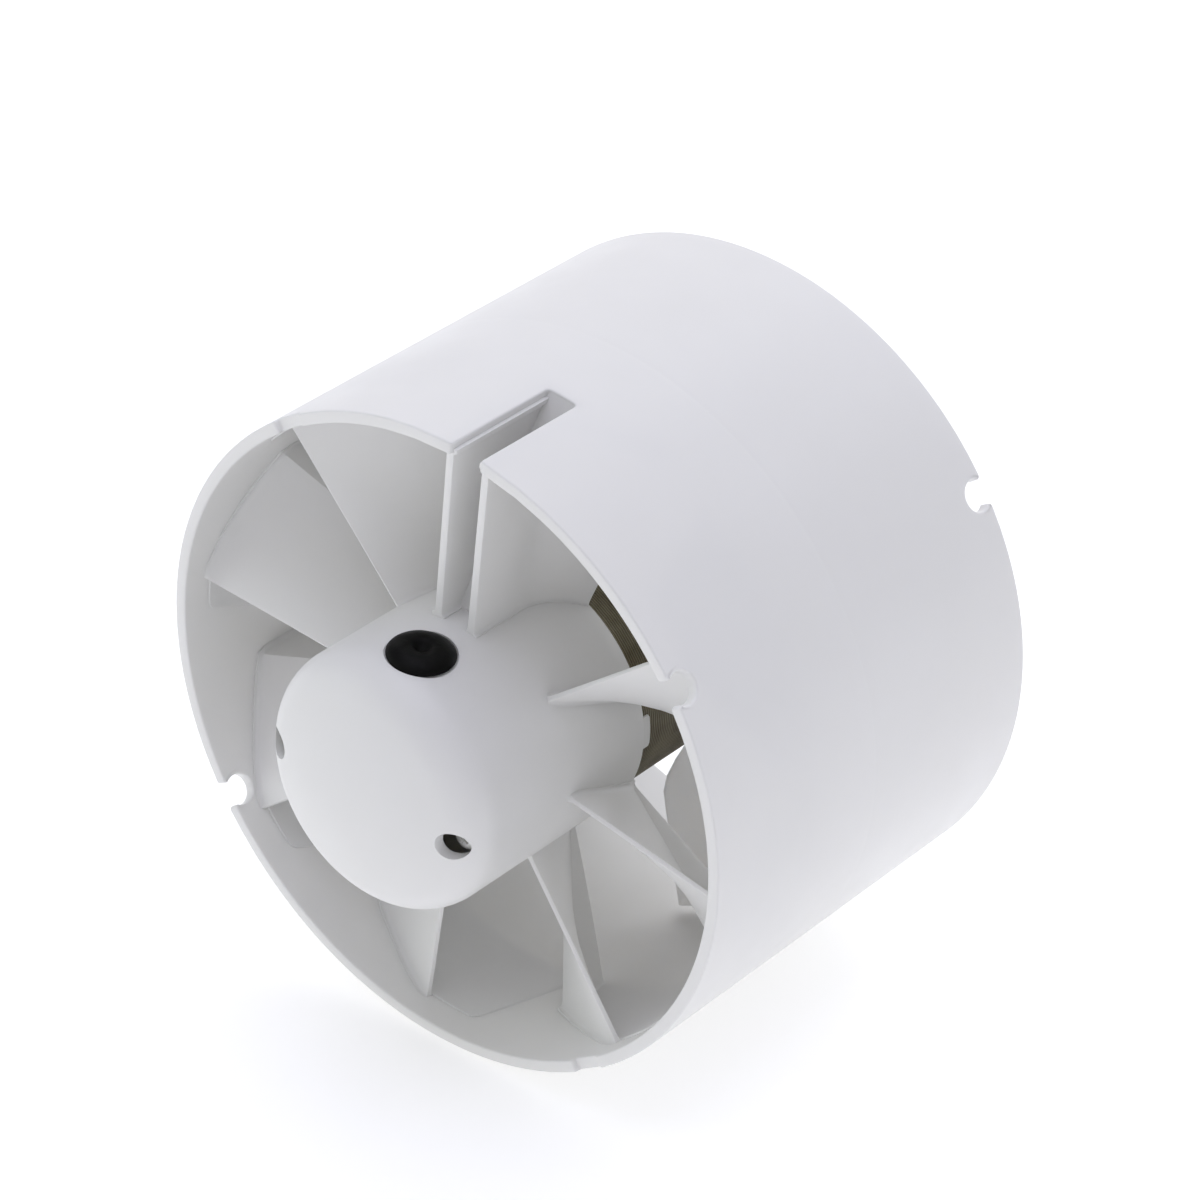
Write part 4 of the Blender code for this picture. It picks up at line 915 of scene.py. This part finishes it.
def finish_nodes():
    """Gives every CAD node that stays in view its procedural material."""
    steel = metal("galvanised_steel", (0.62, 0.63, 0.62), (0.42, 0.43, 0.43), 0.32, 0.5, 90.0)
    zinc = metal("zinc_plate", (0.72, 0.72, 0.69), (0.52, 0.52, 0.50), 0.22, 0.36)
    ground = metal("ground_steel", (0.70, 0.70, 0.70), (0.56, 0.56, 0.56), 0.16, 0.28, 500.0, (1.0, 8.0, 1.0))
    nylon = plain_plastic("natural_nylon", (0.80, 0.77, 0.66), (0.70, 0.67, 0.56), 0.45)
    looks = {
        laminations("lamination_steel"): ("stator_laminations", "rotor_core"),
        copper_winding("enamelled_copper"): ("coil_winding_right", "coil_winding_left"),
        steel: (
            "front_bracket",
            "rear_bracket",
            "bolt_spacer_front_upper",
            "bolt_spacer_front_lower",
            "bolt_spacer_rear_upper",
            "bolt_spacer_rear_lower",
        ),
        zinc: ("motor_bolt_upper", "motor_bolt_lower", "motor_nut_upper", "motor_nut_lower"),
        ground: ("rotor_shaft",),
        nylon: ("coil_bobbin_right", "coil_bobbin_left", "terminal_block"),
        metal("sintered_bronze", (0.52, 0.34, 0.17), (0.30, 0.19, 0.09), 0.45, 0.6): (
            "front_bearing",
            "rear_bearing",
        ),
        metal("cast_aluminium", (0.74, 0.74, 0.75), (0.58, 0.58, 0.60), 0.35, 0.5): (
            "rotor_cage",
            "thermal_fuse",
        ),
        metal("brass", (0.74, 0.57, 0.26), (0.58, 0.42, 0.16), 0.25, 0.4): (
            "terminal_screw_1",
            "terminal_screw_2",
        ),
        metal("spring_steel", (0.26, 0.26, 0.28), (0.14, 0.14, 0.15), 0.28, 0.42): ("impeller_clip",),
        plain_plastic("red_fibre", (0.42, 0.10, 0.06), (0.30, 0.06, 0.04), 0.6): (
            "thrust_washer_front",
            "thrust_washer_rear",
        ),
        plain_plastic("blue_pvc", (0.03, 0.13, 0.44), (0.02, 0.09, 0.34), 0.42): ("coil_lead_blue",),
        plain_plastic("brown_pvc", (0.17, 0.07, 0.03), (0.11, 0.045, 0.02), 0.42): ("coil_lead_brown",),
    }
    for material, names in looks.items():
        for name in names:
            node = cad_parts[name]
            if not node.data.materials:
                node.data.materials.append(material)
            for slot in node.material_slots:
                slot.material = material


# ---------------------------------------------------------------- stage, light and camera


def build_stage():
    bm = bmesh.new()
    bmesh.ops.create_circle(bm, cap_ends=True, segments=96, radius=FLOOR_R)
    bmesh.ops.translate(bm, vec=(0.0, 0.0, -TUBE_R), verts=bm.verts)
    m = Nodes("pale_floor")
    tint = m.ramp(m.noise(1.5, 2.0), ((0.3, 0.90), (0.7, 0.93)))
    m.set(Base_Color=tint, Roughness=0.9, Emission_Color=(1.0, 1.0, 1.0, 1.0))
    m.set(Emission_Strength=FLOOR_GLOW)
    to_object("floor", bm, [m.material])


def build_world():
    """A soft even fill for the fan, with a plain white backdrop behind it in view."""
    world = bpy.data.worlds.new("studio")
    bpy.context.scene.world = world
    world.use_nodes = True
    nodes, links = world.node_tree.nodes, world.node_tree.links
    fill = nodes["Background"]
    fill.inputs["Color"].default_value = (*FILL_COLOUR, 1.0)
    fill.inputs["Strength"].default_value = FILL_STRENGTH
    backdrop = nodes.new("ShaderNodeBackground")
    backdrop.inputs["Strength"].default_value = BACKDROP_STRENGTH
    mix = nodes.new("ShaderNodeMixShader")
    links.new(nodes.new("ShaderNodeLightPath").outputs["Is Camera Ray"], mix.inputs["Fac"])
    links.new(fill.outputs["Background"], mix.inputs[1])
    links.new(backdrop.outputs["Background"], mix.inputs[2])
    links.new(mix.outputs["Shader"], nodes["World Output"].inputs["Surface"])


def add_soft_light(name, direction, power, colour):
    """A round softbox that looks at the fan from a direction."""
    light = bpy.data.lights.new(name, "AREA")
    light.shape = "DISK"
    light.size = LIGHT_SIZE
    light.energy = power
    light.color = colour
    obj = bpy.data.objects.new(name, light)
    obj.location = Vector(direction).normalized() * LIGHT_DISTANCE
    obj.rotation_euler = obj.location.to_track_quat("Z", "Y").to_euler()
    bpy.context.scene.collection.objects.link(obj)


def build_camera():
    back = Vector(CAMERA_BACK).normalized()
    right = Vector(CAMERA_RIGHT).normalized()
    up = back.cross(right)
    place = (right * CAMERA_OFFSET[0] + up * CAMERA_OFFSET[1] + back * CAMERA_OFFSET[2]) * MM
    camera = bpy.data.cameras.new("camera")
    camera.lens = CAMERA_LENS
    camera.sensor_width = 36.0
    camera.clip_start = 0.01
    camera.clip_end = 20.0
    obj = bpy.data.objects.new("camera", camera)
    obj.matrix_world = Matrix((
        (right.x, up.x, back.x, place.x),
        (right.y, up.y, back.y, place.y),
        (right.z, up.z, back.z, place.z),
        (0.0, 0.0, 0.0, 1.0),
    ))
    bpy.context.scene.collection.objects.link(obj)
    bpy.context.scene.camera = obj


build_camera()
build_stage()
build_world()
for soft_light in SOFT_LIGHTS:
    add_soft_light(*soft_light)
bpy.context.scene.view_settings.view_transform = "Standard"

build_casing(moulded_abs("white_abs", (0.81, 0.807, 0.792), (0.79, 0.786, 0.768), 0.12))
build_grommet(rubber("black_rubber"))
# The housing screws get a lighter, less metallic copy of the zinc plating on the motor bolts: painted light
# that brightens them in their shaded recesses.
build_housing_screws(metal("zinc_screw_painted_light", (0.92, 0.92, 0.89), (0.74, 0.74, 0.71), 0.3, 0.42, metallic=0.55))
build_impeller(moulded_abs("impeller_abs", (0.85, 0.848, 0.84), (0.83, 0.827, 0.818), 0.5))
finish_nodes()
